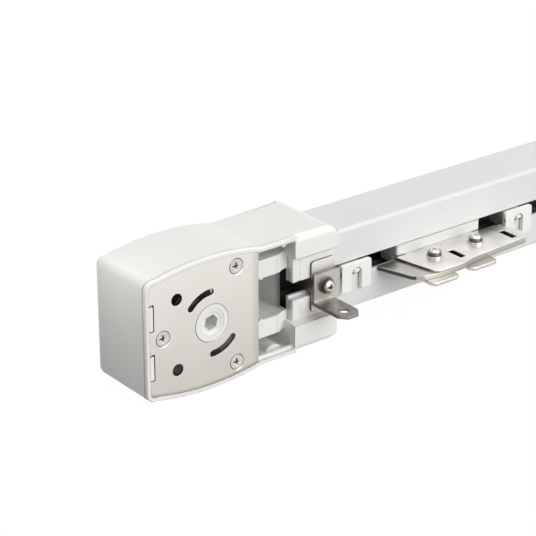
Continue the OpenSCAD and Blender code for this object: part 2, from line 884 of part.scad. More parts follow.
// Toothed belt pulley with two flanges
module pulley_body() {
    groove_depth = belt_tooth_h + 0.2;
    along_y(flange_y0 + flange_t - 0.01, flange_y1 - flange_t + 0.01)
        difference() {
            circle(r = pulley_r);
            for (i = [0 : pulley_teeth - 1])
                rotate((i + 0.5) * 360 / pulley_teeth)
                    translate([pulley_r - groove_depth, 0])
                        polygon([[0, -1.1], [0, 1.1], [groove_depth + over, 1.7], [groove_depth + over, -1.7]]);
        }
    bar_y(0, 0, flange_r, flange_y0, flange_y0 + flange_t);
    bar_y(0, 0, flange_r, flange_y1 - flange_t, flange_y1);
}

module drive_pulley() {
    color("dimgray")
        difference() {
            pulley_body();
            translate([0, flange_y1 + over, 0])
                rotate([90, 0, 0])
                    cylinder(r = seat_r + pin_gap, h = flange_y1 - flange_y0 + 2 * over, $fn = 6);
        }
}

module return_pulley() {
    bore_r = return_axle_r + pin_gap + return_bush_t + pin_gap;
    color("dimgray")
        return_end()
            difference() {
                union() {
                    pulley_body();
                    bar_y(0, 0, bore_r + 3, plate_t + 2, flange_y0 + over);
                }
                bar_y(0, 0, bore_r, plate_t, flange_y1 + over);
            }
}

module return_bushes() {
    inner_r = return_axle_r + pin_gap;
    color("goldenrod")
        return_end()
            for (y0 = [plate_t + 2, flange_y1 - 8])
                difference() {
                    bar_y(0, 0, inner_r + return_bush_t, y0, y0 + 8);
                    bar_y(0, 0, inner_r, y0 - over, y0 + 8 + over);
                }
}

module return_axle() {
    color("silver")
        return_end()
            bar_y(0, 0, return_axle_r, 0.2, floor_y);
}

// Points of one belt tooth on a straight run, as x and distance from the middle line
function run_tooth(x, side) = [
    [x - side * belt_tooth_w / 2, side * belt_root_r],
    [x - side * belt_tooth_w / 2, side * belt_tip_r],
    [x + side * belt_tooth_w / 2, side * belt_tip_r],
    [x + side * belt_tooth_w / 2, side * belt_root_r]
];

// Points of one belt tooth round a pulley at x0 and angle a, in the sense of falling angles
function wrap_tooth(x0, a) = let (half = belt_tooth_w / 2 / belt_tip_r * 180 / PI) [
    [x0 + belt_root_r * cos(a + half), belt_root_r * sin(a + half)],
    [x0 + belt_tip_r * cos(a + half), belt_tip_r * sin(a + half)],
    [x0 + belt_tip_r * cos(a - half), belt_tip_r * sin(a - half)],
    [x0 + belt_root_r * cos(a - half), belt_root_r * sin(a - half)]
];

// Toothed belt round both pulleys, a closed loop at its full length
module drive_belt() {
    wrap_teeth = pulley_teeth / 2;
    step = 180 / wrap_teeth;
    inside = [
        for (i = [0 : run_teeth - 1]) each run_tooth((i + 0.5) * span / run_teeth, 1),
        for (i = [0 : wrap_teeth - 1]) each wrap_tooth(span, 90 - (i + 0.5) * step),
        for (i = [0 : run_teeth - 1]) each run_tooth(span - (i + 0.5) * span / run_teeth, -1),
        for (i = [0 : wrap_teeth - 1]) each wrap_tooth(0, -90 - (i + 0.5) * step)
    ];
    color("black")
        along_y(belt_y0, belt_y1)
            difference() {
                union() {
                    translate([0, -belt_back_r])
                        square([span, 2 * belt_back_r]);
                    circle(r = belt_back_r);
                    translate([span, 0])
                        circle(r = belt_back_r);
                }
                polygon(inside);
            }
}

module rail() {
    color("gainsboro")
        along_x(rail_x0, rail_x1)
            difference() {
                round_rect(rail_face_y, -rail_h, rail_y1, rail_h, rail_edge_r);
                translate([lip_y, -inner_h])
                    square([wheel_chamber_d, 2 * inner_h]);
                translate([rib_y1, -inner_h])
                    square([web_y0 - rib_y1, 2 * inner_h]);
                translate([rib_y0 - over, -rib_opening / 2])
                    square([rib_t + 2 * over, rib_opening]);
                translate([rail_face_y - over, -slot_h])
                    square([lip_t + 2 * over, slot_w]);
                translate([web_y1, -channel_w / 2])
                    square([channel_d, channel_w]);
                translate([channel_y1 - over, -channel_mouth / 2])
                    square([channel_lip_t + 2 * over, channel_mouth]);
                for (side = [-1, 1])
                    translate([web_y1, side > 0 ? channel_w / 2 + rail_wall : -inner_h])
                        square([channel_d, inner_h - channel_w / 2 - rail_wall]);
            }
}

// Sheet-steel bracket: a face on the clamp plate, a tab with an eye, and a leaf into the slot
module bracket() {
    tab_x0 = tab_x - tab_w / 2;
    tab_x1 = tab_x + tab_w / 2;
    tab_z1 = -bracket_drop - bracket_bottom;
    difference() {
        union() {
            along_y(bracket_y0, clamp_y0)
                round_rect(
                    bracket_x0, tab_z1 - sheet_t,
                    bracket_x0 + bracket_w, bracket_top - bracket_drop, 1
                );
            along_z(tab_z1 - sheet_t, tab_z1)
                polygon([
                    [tab_x0, clamp_y0 - 0.2],
                    [tab_x0, -tab_reach + 4.5],
                    [tab_x - tab_end_w / 2, -tab_reach],
                    [tab_x + tab_end_w / 2, -tab_reach],
                    [tab_x1, -tab_reach + 4.5],
                    [tab_x1, clamp_y0 - 0.2]
                ]);
            block([bracket_x0, bracket_y0 + 1, -neck_h], [bracket_x0 + sheet_t, leaf_y1, neck_h]);
        }
        bar_y(bracket_x, -bracket_drop, pan_screw_r + pin_gap, bracket_y0 - over, clamp_y0 + over);
        bar_z(tab_x, -eye_y, eye_r, tab_z1 - sheet_t - over, tab_z1 + over);
    }
}

// Plate under the bracket that bears on both tongues, notched for the bracket's leaf
module clamp_blank() {
    x0 = bracket_x - clamp_w / 2 - 0.3;
    difference() {
        along_y(clamp_y0, tongue_y)
            round_rect(x0, -bracket_drop - clamp_h, x0 + clamp_w, clamp_h - bracket_drop, 2);
        block(
            [x0 - over, clamp_y0 - over, -neck_h - fit_gap],
            [bracket_x0 + sheet_t + fit_gap, tongue_y + over, neck_h + fit_gap]
        );
        bar_y(bracket_x, -bracket_drop, pan_screw_r + pin_gap, clamp_y0 - over, tongue_y + over);
    }
}

module bracket_nut_blank() {
    x0 = bracket_x0 + sheet_t + 0.6;
    x1 = collar_x1 - 2;
    difference() {
        block([x0, lip_y, -nut_plate_h / 2], [x1, lip_y + nut_plate_t, nut_plate_h / 2]);
        bar_y(bracket_x, -bracket_drop, pan_screw_r + pin_gap, lip_y - over, lip_y + nut_plate_t + over);
    }
}

module washer_blank() {
    y1 = bracket_y0;
    difference() {
        bar_y(bracket_x, -bracket_drop, washer_r, y1 - washer_t, y1);
        bar_y(bracket_x, -bracket_drop, pan_screw_r + pin_gap, y1 - washer_t - over, y1 + over);
    }
}

module bracket_screw_blank() {
    head_y = bracket_y0 - washer_t;
    translate([bracket_x, head_y, -bracket_drop])
        rotate([90, 0, 0])
            pan_screw(lip_y + nut_plate_t + 1 - head_y);
}

module end_bracket() {
    color("rosybrown")
        bracket();
}

module clamp_plate() {
    color("silver")
        clamp_blank();
}

module bracket_screw() {
    color("lightgray")
        bracket_screw_blank();
}

module bracket_washer() {
    color("lightgray")
        washer_blank();
}

module nut_plate() {
    color("silver")
        bracket_nut_blank();
}

module return_end_bracket() {
    color("rosybrown")
        return_end()
            bracket();
}

module return_clamp_plate() {
    color("silver")
        return_end()
            clamp_blank();
}

module return_bracket_screw() {
    color("lightgray")
        return_end()
            bracket_screw_blank();
}

module return_bracket_washer() {
    color("lightgray")
        return_end()
            washer_blank();
}

module return_nut_plate() {
    color("silver")
        return_end()
            bracket_nut_blank();
}

// Carriage block between its wheels with the neck that fills the slot above the arm
module carrier_body() {
    x0 = carrier_x - carrier_l / 2;
    x1 = carrier_x + carrier_l / 2;
    cut_y1 = arm_tongue_y + fit_gap;
    color("white")
        difference() {
            union() {
                along_z(-neck_h, neck_h)
                    round_rect(x0, rail_face_y, x1, carriage_y0 + 3, 1.5);
                block([x0, carriage_y0, -carriage_h], [x1, carriage_y1, carriage_h]);
            }
            block([x0 - over, rail_face_y - over, -neck_h - over], [x1 + over, carriage_y0 - 0.4, arm_z1]);
            block(
                [carrier_x - arm_tongue_w / 2 - fit_gap, rail_face_y, arm_z - fit_gap],
                [carrier_x + arm_tongue_w / 2 + fit_gap, cut_y1, arm_z1]
            );
            for (side = [-1, 1]) {
                bar_z(
                    carrier_x + side * carrier_base / 2, wheel_y, axle_r + pin_gap,
                    -carriage_h - over, carriage_h + over
                );
                bar_z(carrier_x + side * 17, lip_y + 1.1, axle_r + pin_gap, -neck_h - over, neck_h + over);
                bar_y(carrier_x + side * 4, 0, axle_r + pin_gap, carriage_y1 - 6.5, carriage_y1 + over);
            }
        }
}

// Outline of the carrier's arm in front of the rail, drawn in by inset, with given points on its left
module arm_outline(left_edge, inset) {
    x1 = carrier_x + arm_right - inset;
    y0 = -arm_reach_left + inset;
    y1 = -arm_reach_right + inset;
    r = arm_end_r;
    difference() {
        union() {
            polygon(concat(left_edge, [
                [carrier_x - 9, y0 - 0.5], [carrier_x + 1, y1 - 2.3], [x1 - r, y1], [x1 - r, arm_y1]
            ]));
            translate([x1 - r, y1 + r])
                circle(r = r);
            polygon([[x1 - r - over, y1 + r], [x1, y1 + r], [x1, -3], [x1 - 5.5, arm_y1], [x1 - r - over, arm_y1]]);
        }
        for (i = [0, 1])
            translate([carrier_x + hook_slot_at[i] - hook_slot_w / 2, -hook_slot_y[i]])
                square([hook_slot_w, hook_slot_l]);
        for (i = [0, 1])
            translate([carrier_x + arm_screw_at[i], -arm_screw_y[i]])
                circle(r = pan_screw_r + pin_gap);
    }
}

module carrier_arm_upper() {
    color("lightgray")
        along_z(arm_z, arm_z1) {
            arm_outline([
                [carrier_x - arm_left, arm_y1],
                [carrier_x - arm_left_front, -arm_reach_left + 2],
                [carrier_x - arm_left_front + 2, -arm_reach_left]
            ], 0);
            difference() {
                translate([carrier_x - arm_tongue_w / 2, arm_y1 - over])
                    square([arm_tongue_w, arm_tongue_y - arm_y1 + over]);
                for (side = [-1, 1])
                    translate([carrier_x + side * 17, lip_y + 1.1])
                        circle(r = axle_r + pin_gap);
            }
        }
}

module carrier_arm_lower() {
    color("darkgray")
        along_z(arm_z0, arm_z)
            arm_outline([
                [carrier_x - sheet_left, arm_y1],
                [carrier_x - sheet_left + 6, -13],
                [carrier_x - sheet_left + 11, -18],
                [carrier_x - arm_left_front + 2, -arm_reach_left + 0.3]
            ], 0.3);
}

// Two jaws under the arm, held by the arm screws
module carrier_jaws() {
    color("silver")
        along_z(arm_z0 - jaw_t, arm_z0)
            difference() {
                for (i = [0, 1])
                    round_rect(
                        carrier_x + jaw_at[i] - jaw_w / 2, -jaw_reach[i],
                        carrier_x + jaw_at[i] + jaw_w / 2, jaw_inner, 3.5
                    );
                for (i = [0, 1])
                    translate([carrier_x + arm_screw_at[i], -arm_screw_y[i]])
                        circle(r = pan_screw_r + pin_gap);
            }
}

module carrier_screws() {
    color("lightgray")
        for (i = [0, 1])
            translate([carrier_x + arm_screw_at[i], -arm_screw_y[i], arm_z1 + washer_t])
                pan_screw(washer_t + arm_z1 - arm_z0 + jaw_t);
}

module carrier_washers() {
    color("lightgray")
        for (i = [0, 1])
            along_z(arm_z1, arm_z1 + washer_t)
                translate([carrier_x + arm_screw_at[i], -arm_screw_y[i]])
                    difference() {
                        circle(r = washer_r);
                        circle(r = pan_screw_r + pin_gap);
                    }
}

module carrier_rivets() {
    color("silver")
        for (side = [-1, 1])
            bar_z(carrier_x + side * 17, lip_y + 1.1, axle_r, -neck_h + 0.1, neck_h - 0.1);
}

// Clamp on the carriage that reaches through the rib opening and round one belt run
module belt_clamp() {
    x0 = carrier_x - belt_clamp_l / 2;
    x1 = carrier_x + belt_clamp_l / 2;
    jaw_z1 = belt_tip_r - belt_gap - 0.1;
    back_z0 = belt_back_r + belt_gap + 0.1;
    bridge_y0 = belt_y1 + belt_gap + 0.1;
    bridge_y1 = web_y0 - 0.4;
    stem_h = rib_opening / 2 - 0.6;
    color("ivory")
        difference() {
            union() {
                block([x0, carriage_y1, -stem_h + 2], [x1, clamp_base_y + 1, stem_h]);
                block([x0, clamp_base_y, -stem_h + 2], [x1, clamp_base_y + belt_clamp_t, jaw_z1]);
                block([x0, clamp_base_y, jaw_z1 - belt_clamp_t - 1], [x1, bridge_y1, jaw_z1]);
                block([x0, bridge_y0, jaw_z1 - over], [x1, bridge_y1, back_z0 + over]);
                block([x0, clamp_base_y, back_z0], [x1, bridge_y1, back_z0 + belt_clamp_t]);
            }
            for (side = [-1, 1])
                bar_y(carrier_x + side * 4, 0, axle_r + pin_gap, carriage_y1 - over, bridge_y1);
        }
}

module belt_clamp_screws() {
    color("lightgray")
        for (side = [-1, 1])
            translate([carrier_x + side * 4, clamp_base_y + belt_clamp_t, 0])
                rotate([90, 0, 0])
                    difference() {
                        union() {
                            translate([0, 0, -2])
                                cylinder(r = 2.7, h = 2);
                            cylinder(r = axle_r, h = clamp_base_y + belt_clamp_t - carriage_y1 + 6);
                        }
                        translate([0, 0, -2])
                            rotate([180, 0, 0])
                                cross_recess(3.4, 1);
                    }
}

// Two wheels, one on each side of a carriage whose axle stands at x
module wheel_pair(x) {
    for (side = [-1, 1])
        difference() {
            bar_z(
                x, wheel_y, wheel_r,
                side > 0 ? wheel_z : -wheel_z - wheel_w, side > 0 ? wheel_z + wheel_w : -wheel_z
            );
            bar_z(x, wheel_y, axle_r, -inner_h, inner_h);
            for (turn = [0 : 60 : 300])
                translate([x, wheel_y, 0])
                    rotate(turn)
                        bar_z(0.64 * wheel_r, 0, 0.12 * wheel_r, -inner_h, inner_h);
        }
}

// Steel axle of a wheel pair at x
module wheel_axle(x) {
    bar_z(x, wheel_y, axle_r, -wheel_z - wheel_w - 0.6, wheel_z + wheel_w + 0.6);
}

module carrier_wheels(side) {
    color("white")
        wheel_pair(carrier_x + side * carrier_base / 2);
}

module carrier_axle(side) {
    color("silver")
        wheel_axle(carrier_x + side * carrier_base / 2);
}

// Runner's carriage with the shelf and eye that carry its hanger
module runner_body(i) {
    x = runner_at[i - 1];
    x0 = x - runner_l / 2;
    x1 = x + runner_l / 2;
    shelf_z1 = -neck_h + shelf_t;
    color("white")
        difference() {
            union() {
                block([x0, carriage_y0, -carriage_h], [x1, carriage_y1, carriage_h]);
                block([x0, rail_face_y + 0.4, -neck_h], [x1, carriage_y0 + over, shelf_z1]);
                along_x(x - hinge_eye_w / 2, x + hinge_eye_w / 2) {
                    translate([hinge_y, -hinge_drop])
                        circle(r = hinge_eye_r);
                    polygon([
                        [hinge_y - 0.9 * hinge_eye_r, -hinge_drop - 0.4 * hinge_eye_r],
                        [hinge_y + 0.3 * hinge_eye_r, -hinge_drop - 0.95 * hinge_eye_r],
                        [rail_face_y + over, shelf_z1],
                        [rail_face_y + over, -neck_h],
                        [rail_face_y - 0.6, -neck_h]
                    ]);
                }
            }
            bar_z(x, wheel_y, axle_r + pin_gap, -carriage_h - over, carriage_h + over);
            bar_x(hinge_y, -hinge_drop, hinge_pin_r + pin_gap, x0, x1);
        }
}

module runner_wheels(i) {
    color("white")
        wheel_pair(runner_at[i - 1]);
}

module runner_axle(i) {
    color("silver")
        wheel_axle(runner_at[i - 1]);
}

// Hanger: a plate with a notch between two legs, hung on a pin across the slot
module hanger(i) {
    x = runner_at[i - 1];
    y1 = rail_face_y - hanger_gap;
    notch_top = hanger_top - 3.2;
    color("snow")
        difference() {
            along_y(y1 - hanger_t, y1)
                difference() {
                    round_rect(x - hanger_w / 2, -hanger_drop, x + hanger_w / 2, hanger_top, 1.4);
                    translate([x - notch_w / 2, -hanger_drop - over])
                        square([notch_w, hanger_drop + over + notch_top - notch_w / 2]);
                    translate([x, notch_top - notch_w / 2])
                        circle(r = notch_w / 2);
                }
            bar_x(hinge_y, -hinge_drop, hinge_pin_r, x - hanger_w, x + hanger_w);
        }
}

module hanger_pin(i) {
    x = runner_at[i - 1];
    color("silver")
        bar_x(hinge_y, -hinge_drop, hinge_pin_r, x - hanger_w / 2 + 0.5, x + hanger_w / 2 - 0.5);
}

drive_housing();
drive_belt_guide();
cover_plate();
cover_screws();
spindle_bush();
rear_bush();
drive_hub();
drive_pulley();
drive_belt();
rail();
end_bracket();
clamp_plate();
bracket_screw();
bracket_washer();
nut_plate();
return_housing();
return_belt_guide();
return_cover();
return_screws();
return_axle();
return_pulley();
return_bushes();
return_end_bracket();
return_clamp_plate();
return_bracket_screw();
return_bracket_washer();
return_nut_plate();
carrier_body();
carrier_arm_upper();
carrier_arm_lower();
carrier_jaws();
carrier_screws();
carrier_washers();
carrier_rivets();
belt_clamp();
belt_clamp_screws();
carrier_wheels(-1);  // carrier_wheels_near
carrier_axle(-1);  // carrier_axle_near
carrier_wheels(1);  // carrier_wheels_far
carrier_axle(1);  // carrier_axle_far
runner_body(1);  // runner_body_1
runner_wheels(1);  // runner_wheels_1
runner_axle(1);  // runner_axle_1
hanger(1);  // hanger_1
hanger_pin(1);  // hanger_pin_1
runner_body(2);  // runner_body_2
runner_wheels(2);  // runner_wheels_2
runner_axle(2);  // runner_axle_2
hanger(2);  // hanger_2
hanger_pin(2);  // hanger_pin_2
runner_body(3);  // runner_body_3
runner_wheels(3);  // runner_wheels_3
runner_axle(3);  // runner_axle_3
hanger(3);  // hanger_3
hanger_pin(3);  // hanger_pin_3
runner_body(4);  // runner_body_4
runner_wheels(4);  // runner_wheels_4
runner_axle(4);  // runner_axle_4
hanger(4);  // hanger_4
hanger_pin(4);  // hanger_pin_4
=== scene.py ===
import json
from math import cos, pi, radians, sin

import bmesh
import bpy
from mathutils import Matrix, Vector
from mathutils.bvhtree import BVHTree


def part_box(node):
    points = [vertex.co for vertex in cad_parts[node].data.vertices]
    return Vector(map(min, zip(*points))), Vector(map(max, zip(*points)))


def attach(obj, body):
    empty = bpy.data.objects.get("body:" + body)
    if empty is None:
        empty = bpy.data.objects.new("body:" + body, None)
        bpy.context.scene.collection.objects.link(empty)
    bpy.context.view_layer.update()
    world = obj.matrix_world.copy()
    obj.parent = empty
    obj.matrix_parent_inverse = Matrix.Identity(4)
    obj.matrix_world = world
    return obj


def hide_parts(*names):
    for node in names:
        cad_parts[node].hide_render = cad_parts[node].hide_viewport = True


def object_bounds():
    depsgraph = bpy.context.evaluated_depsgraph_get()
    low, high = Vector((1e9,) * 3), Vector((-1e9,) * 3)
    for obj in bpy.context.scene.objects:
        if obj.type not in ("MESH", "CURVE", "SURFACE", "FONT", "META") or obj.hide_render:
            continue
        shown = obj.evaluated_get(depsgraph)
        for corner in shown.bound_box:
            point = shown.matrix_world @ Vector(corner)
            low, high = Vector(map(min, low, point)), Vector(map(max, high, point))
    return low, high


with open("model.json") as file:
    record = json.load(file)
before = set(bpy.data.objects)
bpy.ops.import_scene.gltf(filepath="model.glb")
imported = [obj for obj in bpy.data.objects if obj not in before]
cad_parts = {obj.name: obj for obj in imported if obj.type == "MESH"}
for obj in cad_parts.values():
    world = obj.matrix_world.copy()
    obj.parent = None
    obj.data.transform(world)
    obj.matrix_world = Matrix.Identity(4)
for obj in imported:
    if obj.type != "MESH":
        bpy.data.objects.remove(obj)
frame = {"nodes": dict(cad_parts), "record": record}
cad_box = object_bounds()
scene = bpy.context.scene

# Camera. A long lens stands a metre off the drive end, to its left, in front of the slotted face and
# above it, so the drive spindle comes left of the picture's middle and the rail runs out to the right.
LENS_PX, PICTURE_PX = 1980, 536
SPINDLE_PX = (212, 323)
AZIMUTH, ELEVATION, DISTANCE = radians(-38.3), radians(24), 1.0024

back = Vector((sin(AZIMUTH) * cos(ELEVATION), -cos(AZIMUTH) * cos(ELEVATION), sin(ELEVATION)))
right = Vector((cos(AZIMUTH), sin(AZIMUTH), 0))
up = back.cross(right)
view_camera = bpy.data.cameras.new("view_camera")
view_camera.sensor_width = 36
view_camera.lens = view_camera.sensor_width * LENS_PX / PICTURE_PX
view_camera.clip_start, view_camera.clip_end = 0.05, 20
camera = bpy.data.objects.new("camera", view_camera)
sight = (right * (SPINDLE_PX[0] - PICTURE_PX / 2) - up * (SPINDLE_PX[1] - PICTURE_PX / 2)) / LENS_PX - back
turn = Matrix((right, up, back)).transposed().to_4x4()
turn.translation = -DISTANCE * sight
camera.matrix_world = turn
scene.collection.objects.link(camera)
scene.camera = camera
scene.view_settings.view_transform = "Standard"


# Studio. The track lies on a pale floor in a white room, under a wide lamp in front, a weaker one above
# and a small one close to the drive end. The floor shows white to the camera and in metal, and keeps a
# faint shadow.
class Wire:
    """An output of a node that can be used in sums."""

    def __init__(self, graph, socket):
        self.graph, self.socket = graph, socket

    def sum(self, operation, first, second):
        return self.graph.node("ShaderNodeMath", {"operation": operation}, {0: first, 1: second})

    def __add__(self, other):
        return self.sum("ADD", self, other)

    def __sub__(self, other):
        return self.sum("SUBTRACT", self, other)

    def __rsub__(self, other):
        return self.sum("SUBTRACT", other, self)

    def __mul__(self, other):
        return self.sum("MULTIPLY", self, other)

    def __truediv__(self, other):
        return self.sum("DIVIDE", self, other)

    def __abs__(self):
        return self.graph.node("ShaderNodeMath", {"operation": "ABSOLUTE"}, {0: self})

    __radd__, __rmul__ = __add__, __mul__


class Graph:
    """The nodes of one material, world or shape."""

    def __init__(self, tree):
        self.tree = tree
        if tree.bl_idname == "ShaderNodeTree":
            tree.nodes.clear()

    def node(self, kind, settings=None, sockets=None, output=0):
        """A new node. A socket takes a value, a link, or a list of links."""
        made = self.tree.nodes.new(kind)
        for name, value in (settings or {}).items():
            setattr(made, name, value)
        for name, given in (sockets or {}).items():
            for value in given if isinstance(given, list) else [given]:
                if isinstance(value, Wire):
                    self.tree.links.new(value.socket, made.inputs[name])
                else:
                    made.inputs[name].default_value = value
        if made.outputs:
            return Wire(self, made.outputs[output])

    def mix(self, share, first, second):
        """The first colour, with the given share of the second over it."""
        return self.node("ShaderNodeMix", {"data_type": "RGBA"}, {0: share, 6: first, 7: second}, 2)


def paint(code):
    """Colour written as six hexadecimal digits, as the picture shows it."""
    parts = [int(code[i:i + 2], 16) / 255 for i in (0, 2, 4)]
    return (*(p / 12.92 if p <= 0.04045 else ((p + 0.055) / 1.055) ** 2.4 for p in parts), 1)


def seen_directly(graph):
    """1 for what the camera sees, also in metal or through glass."""
    path = "ShaderNodeLightPath"
    seen = graph.node(path, output="Is Camera Ray") + graph.node(path, output="Is Glossy Ray")
    return seen + graph.node(path, output="Is Transmission Ray")


WHITE = (1, 1, 1, 1)
ROOM_LIGHT = 0.26
FLOOR_WHITE, FLOOR_SHARE = 1.06, 0.93
FLOOR_X, FLOOR_Y = (-6, 7), (-6, 6)
room = bpy.data.worlds.new("room")
room.use_nodes = True
sky = Graph(room.node_tree)
strength = seen_directly(sky) * (1 - ROOM_LIGHT) + ROOM_LIGHT
sky.node("ShaderNodeOutputWorld", {}, {"Surface": sky.node(
    "ShaderNodeBackground", {}, {"Color": WHITE, "Strength": strength})})
scene.world = room

floor_mesh = bpy.data.meshes.new("floor")
floor_corners = [(x, y, cad_box[0][2]) for x in FLOOR_X for y in FLOOR_Y]
floor_mesh.from_pydata(floor_corners, [], [(0, 2, 3, 1)])
floor_paint = bpy.data.materials.new("floor_paint")
floor_paint.use_nodes = True
ground = Graph(floor_paint.node_tree)
matt = ground.node("ShaderNodeBsdfDiffuse", {}, {"Color": paint("A8A8A7")})
glow = ground.node("ShaderNodeEmission", {}, {"Color": WHITE, "Strength": FLOOR_WHITE})
ground.node("ShaderNodeOutputMaterial", {}, {"Surface": ground.node("ShaderNodeMixShader", {}, {
    0: seen_directly(ground) * FLOOR_SHARE, 1: matt, 2: glow})})
floor_mesh.materials.append(floor_paint)
floor = bpy.data.objects.new("floor", floor_mesh)
scene.collection.objects.link(floor)


LIT_POINT = Vector((0.06, 0, 0))


def lamp(name, towards, distance, size, watts):
    """A round lamp that shines on the drive end from the given direction."""
    light = bpy.data.lights.new(name, "AREA")
    light.shape, light.size, light.energy = "DISK", size, watts
    holder = bpy.data.objects.new(name, light)
    direction = Vector(towards).normalized()
    holder.matrix_world = direction.to_track_quat("Z", "Y").to_matrix().to_4x4()
    holder.location = LIT_POINT + direction * distance
    holder.visible_camera = False
    scene.collection.objects.link(holder)


lamp("front_lamp", (0.25, -0.9, 0.35), 1.5, 1.5, 19)
lamp("top_lamp", (0.4, 0.1, 1), 1.5, 1.2, 10.4)
lamp("end_lamp", (-0.151, 0.022, 0.06), 0.164, 0.05, 0.02)


# End housings. Each is one tray injection moulded in white ABS: a rim round the cover plate, a deep
# well for the pulley, a window and a collar that grips the rail. The mould's back edges are well
# rounded and every other edge has a small radius.
class Finish(Graph):
    """A material whose patterns lie in the track's own metres."""

    def __init__(self, name):
        self.material = bpy.data.materials.new(name)
        self.material.use_nodes = True
        super().__init__(self.material.node_tree)
        self.place = self.node("ShaderNodeTexCoord", output="Object")

    def at(self, axis):
        """Place along one axis."""
        return self.node("ShaderNodeSeparateXYZ", {}, {0: self.place}, axis)

    def grain(self, scale, detail, stretch=(1, 1, 1)):
        """Noise of so many grains a metre, drawn out along an axis whose stretch is below 1."""
        place = self.node("ShaderNodeMapping", {}, {"Vector": self.place, "Scale": stretch})
        return self.node("ShaderNodeTexNoise", {}, {"Vector": place, "Scale": scale, "Detail": detail})

    def step(self, value, low, high):
        """A soft step from 0 at low to 1 at high."""
        return self.node("ShaderNodeMapRange", {"interpolation_type": "SMOOTHSTEP"}, {
            "Value": value, "From Min": low, "From Max": high})

    def cover(self, colour, roughness, relief, depth, metallic=0):
        """Joins everything in one shader. The depth is that of the relief, in metres."""
        bump = self.node("ShaderNodeBump", {}, {"Height": relief, "Strength": 1, "Distance": depth})
        shader = self.node("ShaderNodeBsdfPrincipled", {}, {
            "Base Color": colour, "Roughness": roughness, "Metallic": metallic, "Normal": bump})
        self.node("ShaderNodeOutputMaterial", {}, {"Surface": shader})
        return self.material


def moulded_plastic(name, light, dark, roughness, depth, painted_shade=None):
    """Plastic from a spark-eroded mould: fine pitting, faint flow clouds, rubbed patches, painted shade if
    given.
    """
    skin = Finish(name)
    flow = skin.grain(22, 3, (0.5, 1, 1))
    pits = skin.grain(2600, 2)
    rubs = skin.step(skin.grain(90, 4), 0.52, 0.72)
    colour = skin.mix(skin.step(flow, 0.3, 0.7), paint(dark), paint(light))
    if painted_shade:
        # Painted shade: dark grey-brown mixed in where the given mask lies.
        colour = skin.mix(painted_shade(skin), colour, paint("45433F"))
    return skin.cover(colour, roughness - rubs * 0.07 + pits * 0.06, pits, depth)


def own_mesh(obj):
    """Turns an object and its modifiers into a plain mesh."""
    bpy.context.view_layer.update()
    made = bpy.data.meshes.new_from_object(obj.evaluated_get(bpy.context.evaluated_depsgraph_get()))
    obj.modifiers.clear()
    obj.data = made
    made.name = obj.name
    return obj


def dress(obj, body, material):
    """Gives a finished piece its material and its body."""
    obj.data.materials.clear()
    obj.data.materials.append(material)
    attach(obj, body)


SHARP = radians(34)


def flat_shading(obj):
    """Lets large faces keep their own normals, so that they look flat up to their rounded edges."""
    shading = obj.modifiers.new("shading", "WEIGHTED_NORMAL")
    shading.mode, shading.weight, shading.keep_sharp = "FACE_AREA", 100, True


def round_edges(obj, width, steps):
    """Rounds the sharp edges, and puts back what strays where edges meet at a shallow angle."""
    stray = width * 0.8
    faces = [tuple(face.vertices) for face in obj.data.polygons]
    least = [min(vert.co[i] for vert in obj.data.vertices) for i in range(3)]
    most = [max(vert.co[i] for vert in obj.data.vertices) for i in range(3)]
    before = BVHTree.FromPolygons([vert.co.copy() for vert in obj.data.vertices], faces)
    bevel = obj.modifiers.new("edges", "BEVEL")
    bevel.width, bevel.segments, bevel.use_clamp_overlap = width, steps, False
    bevel.limit_method, bevel.angle_limit = "ANGLE", SHARP
    flat_shading(obj)
    own_mesh(obj)
    for vert in obj.data.vertices:
        place, _, _, distance = before.find_nearest(vert.co)
        if distance > stray:
            vert.co = place
        vert.co = [min(max(c, a), b) for c, a, b in zip(vert.co, least, most)]
    return obj


SAME_PLACE, SAME_LEVEL, ON_PLANE = 0.000002, 0.00001, 0.0000005
SAME_DIRECTION = radians(0.4)


def cut_copy(node):
    """A joined-up copy of a CAD node's mesh, its flat faces made whole."""
    mesh = frame["nodes"][node].data.copy()
    obj = bpy.data.objects.new(node + "_skin", mesh)
    scene.collection.objects.link(obj)
    work = bmesh.new()
    work.from_mesh(mesh)
    bmesh.ops.remove_doubles(work, verts=work.verts, dist=SAME_PLACE)
    bmesh.ops.dissolve_degenerate(work, edges=work.edges, dist=SAME_PLACE)
    bmesh.ops.dissolve_limit(work, angle_limit=SAME_DIRECTION, verts=work.verts, edges=work.edges)
    for face in work.faces:
        face.smooth = True
    work.to_mesh(mesh)
    work.free()
    return obj


def body_of(node):
    """The body that a CAD node moves with."""
    return next(b for b, names in frame["record"]["behaviour"]["bodies"].items() if node in names)


def soften(node, material, width, steps=2):
    """Puts a copy with rounded edges in a CAD node's place."""
    obj = round_edges(cut_copy(node), width, steps)
    dress(obj, body_of(node), material)
    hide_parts(node)


def place_of(vert):
    """Where a point lies when the track is seen from the front."""
    return round(vert.co.x, 6), round(vert.co.z, 6)


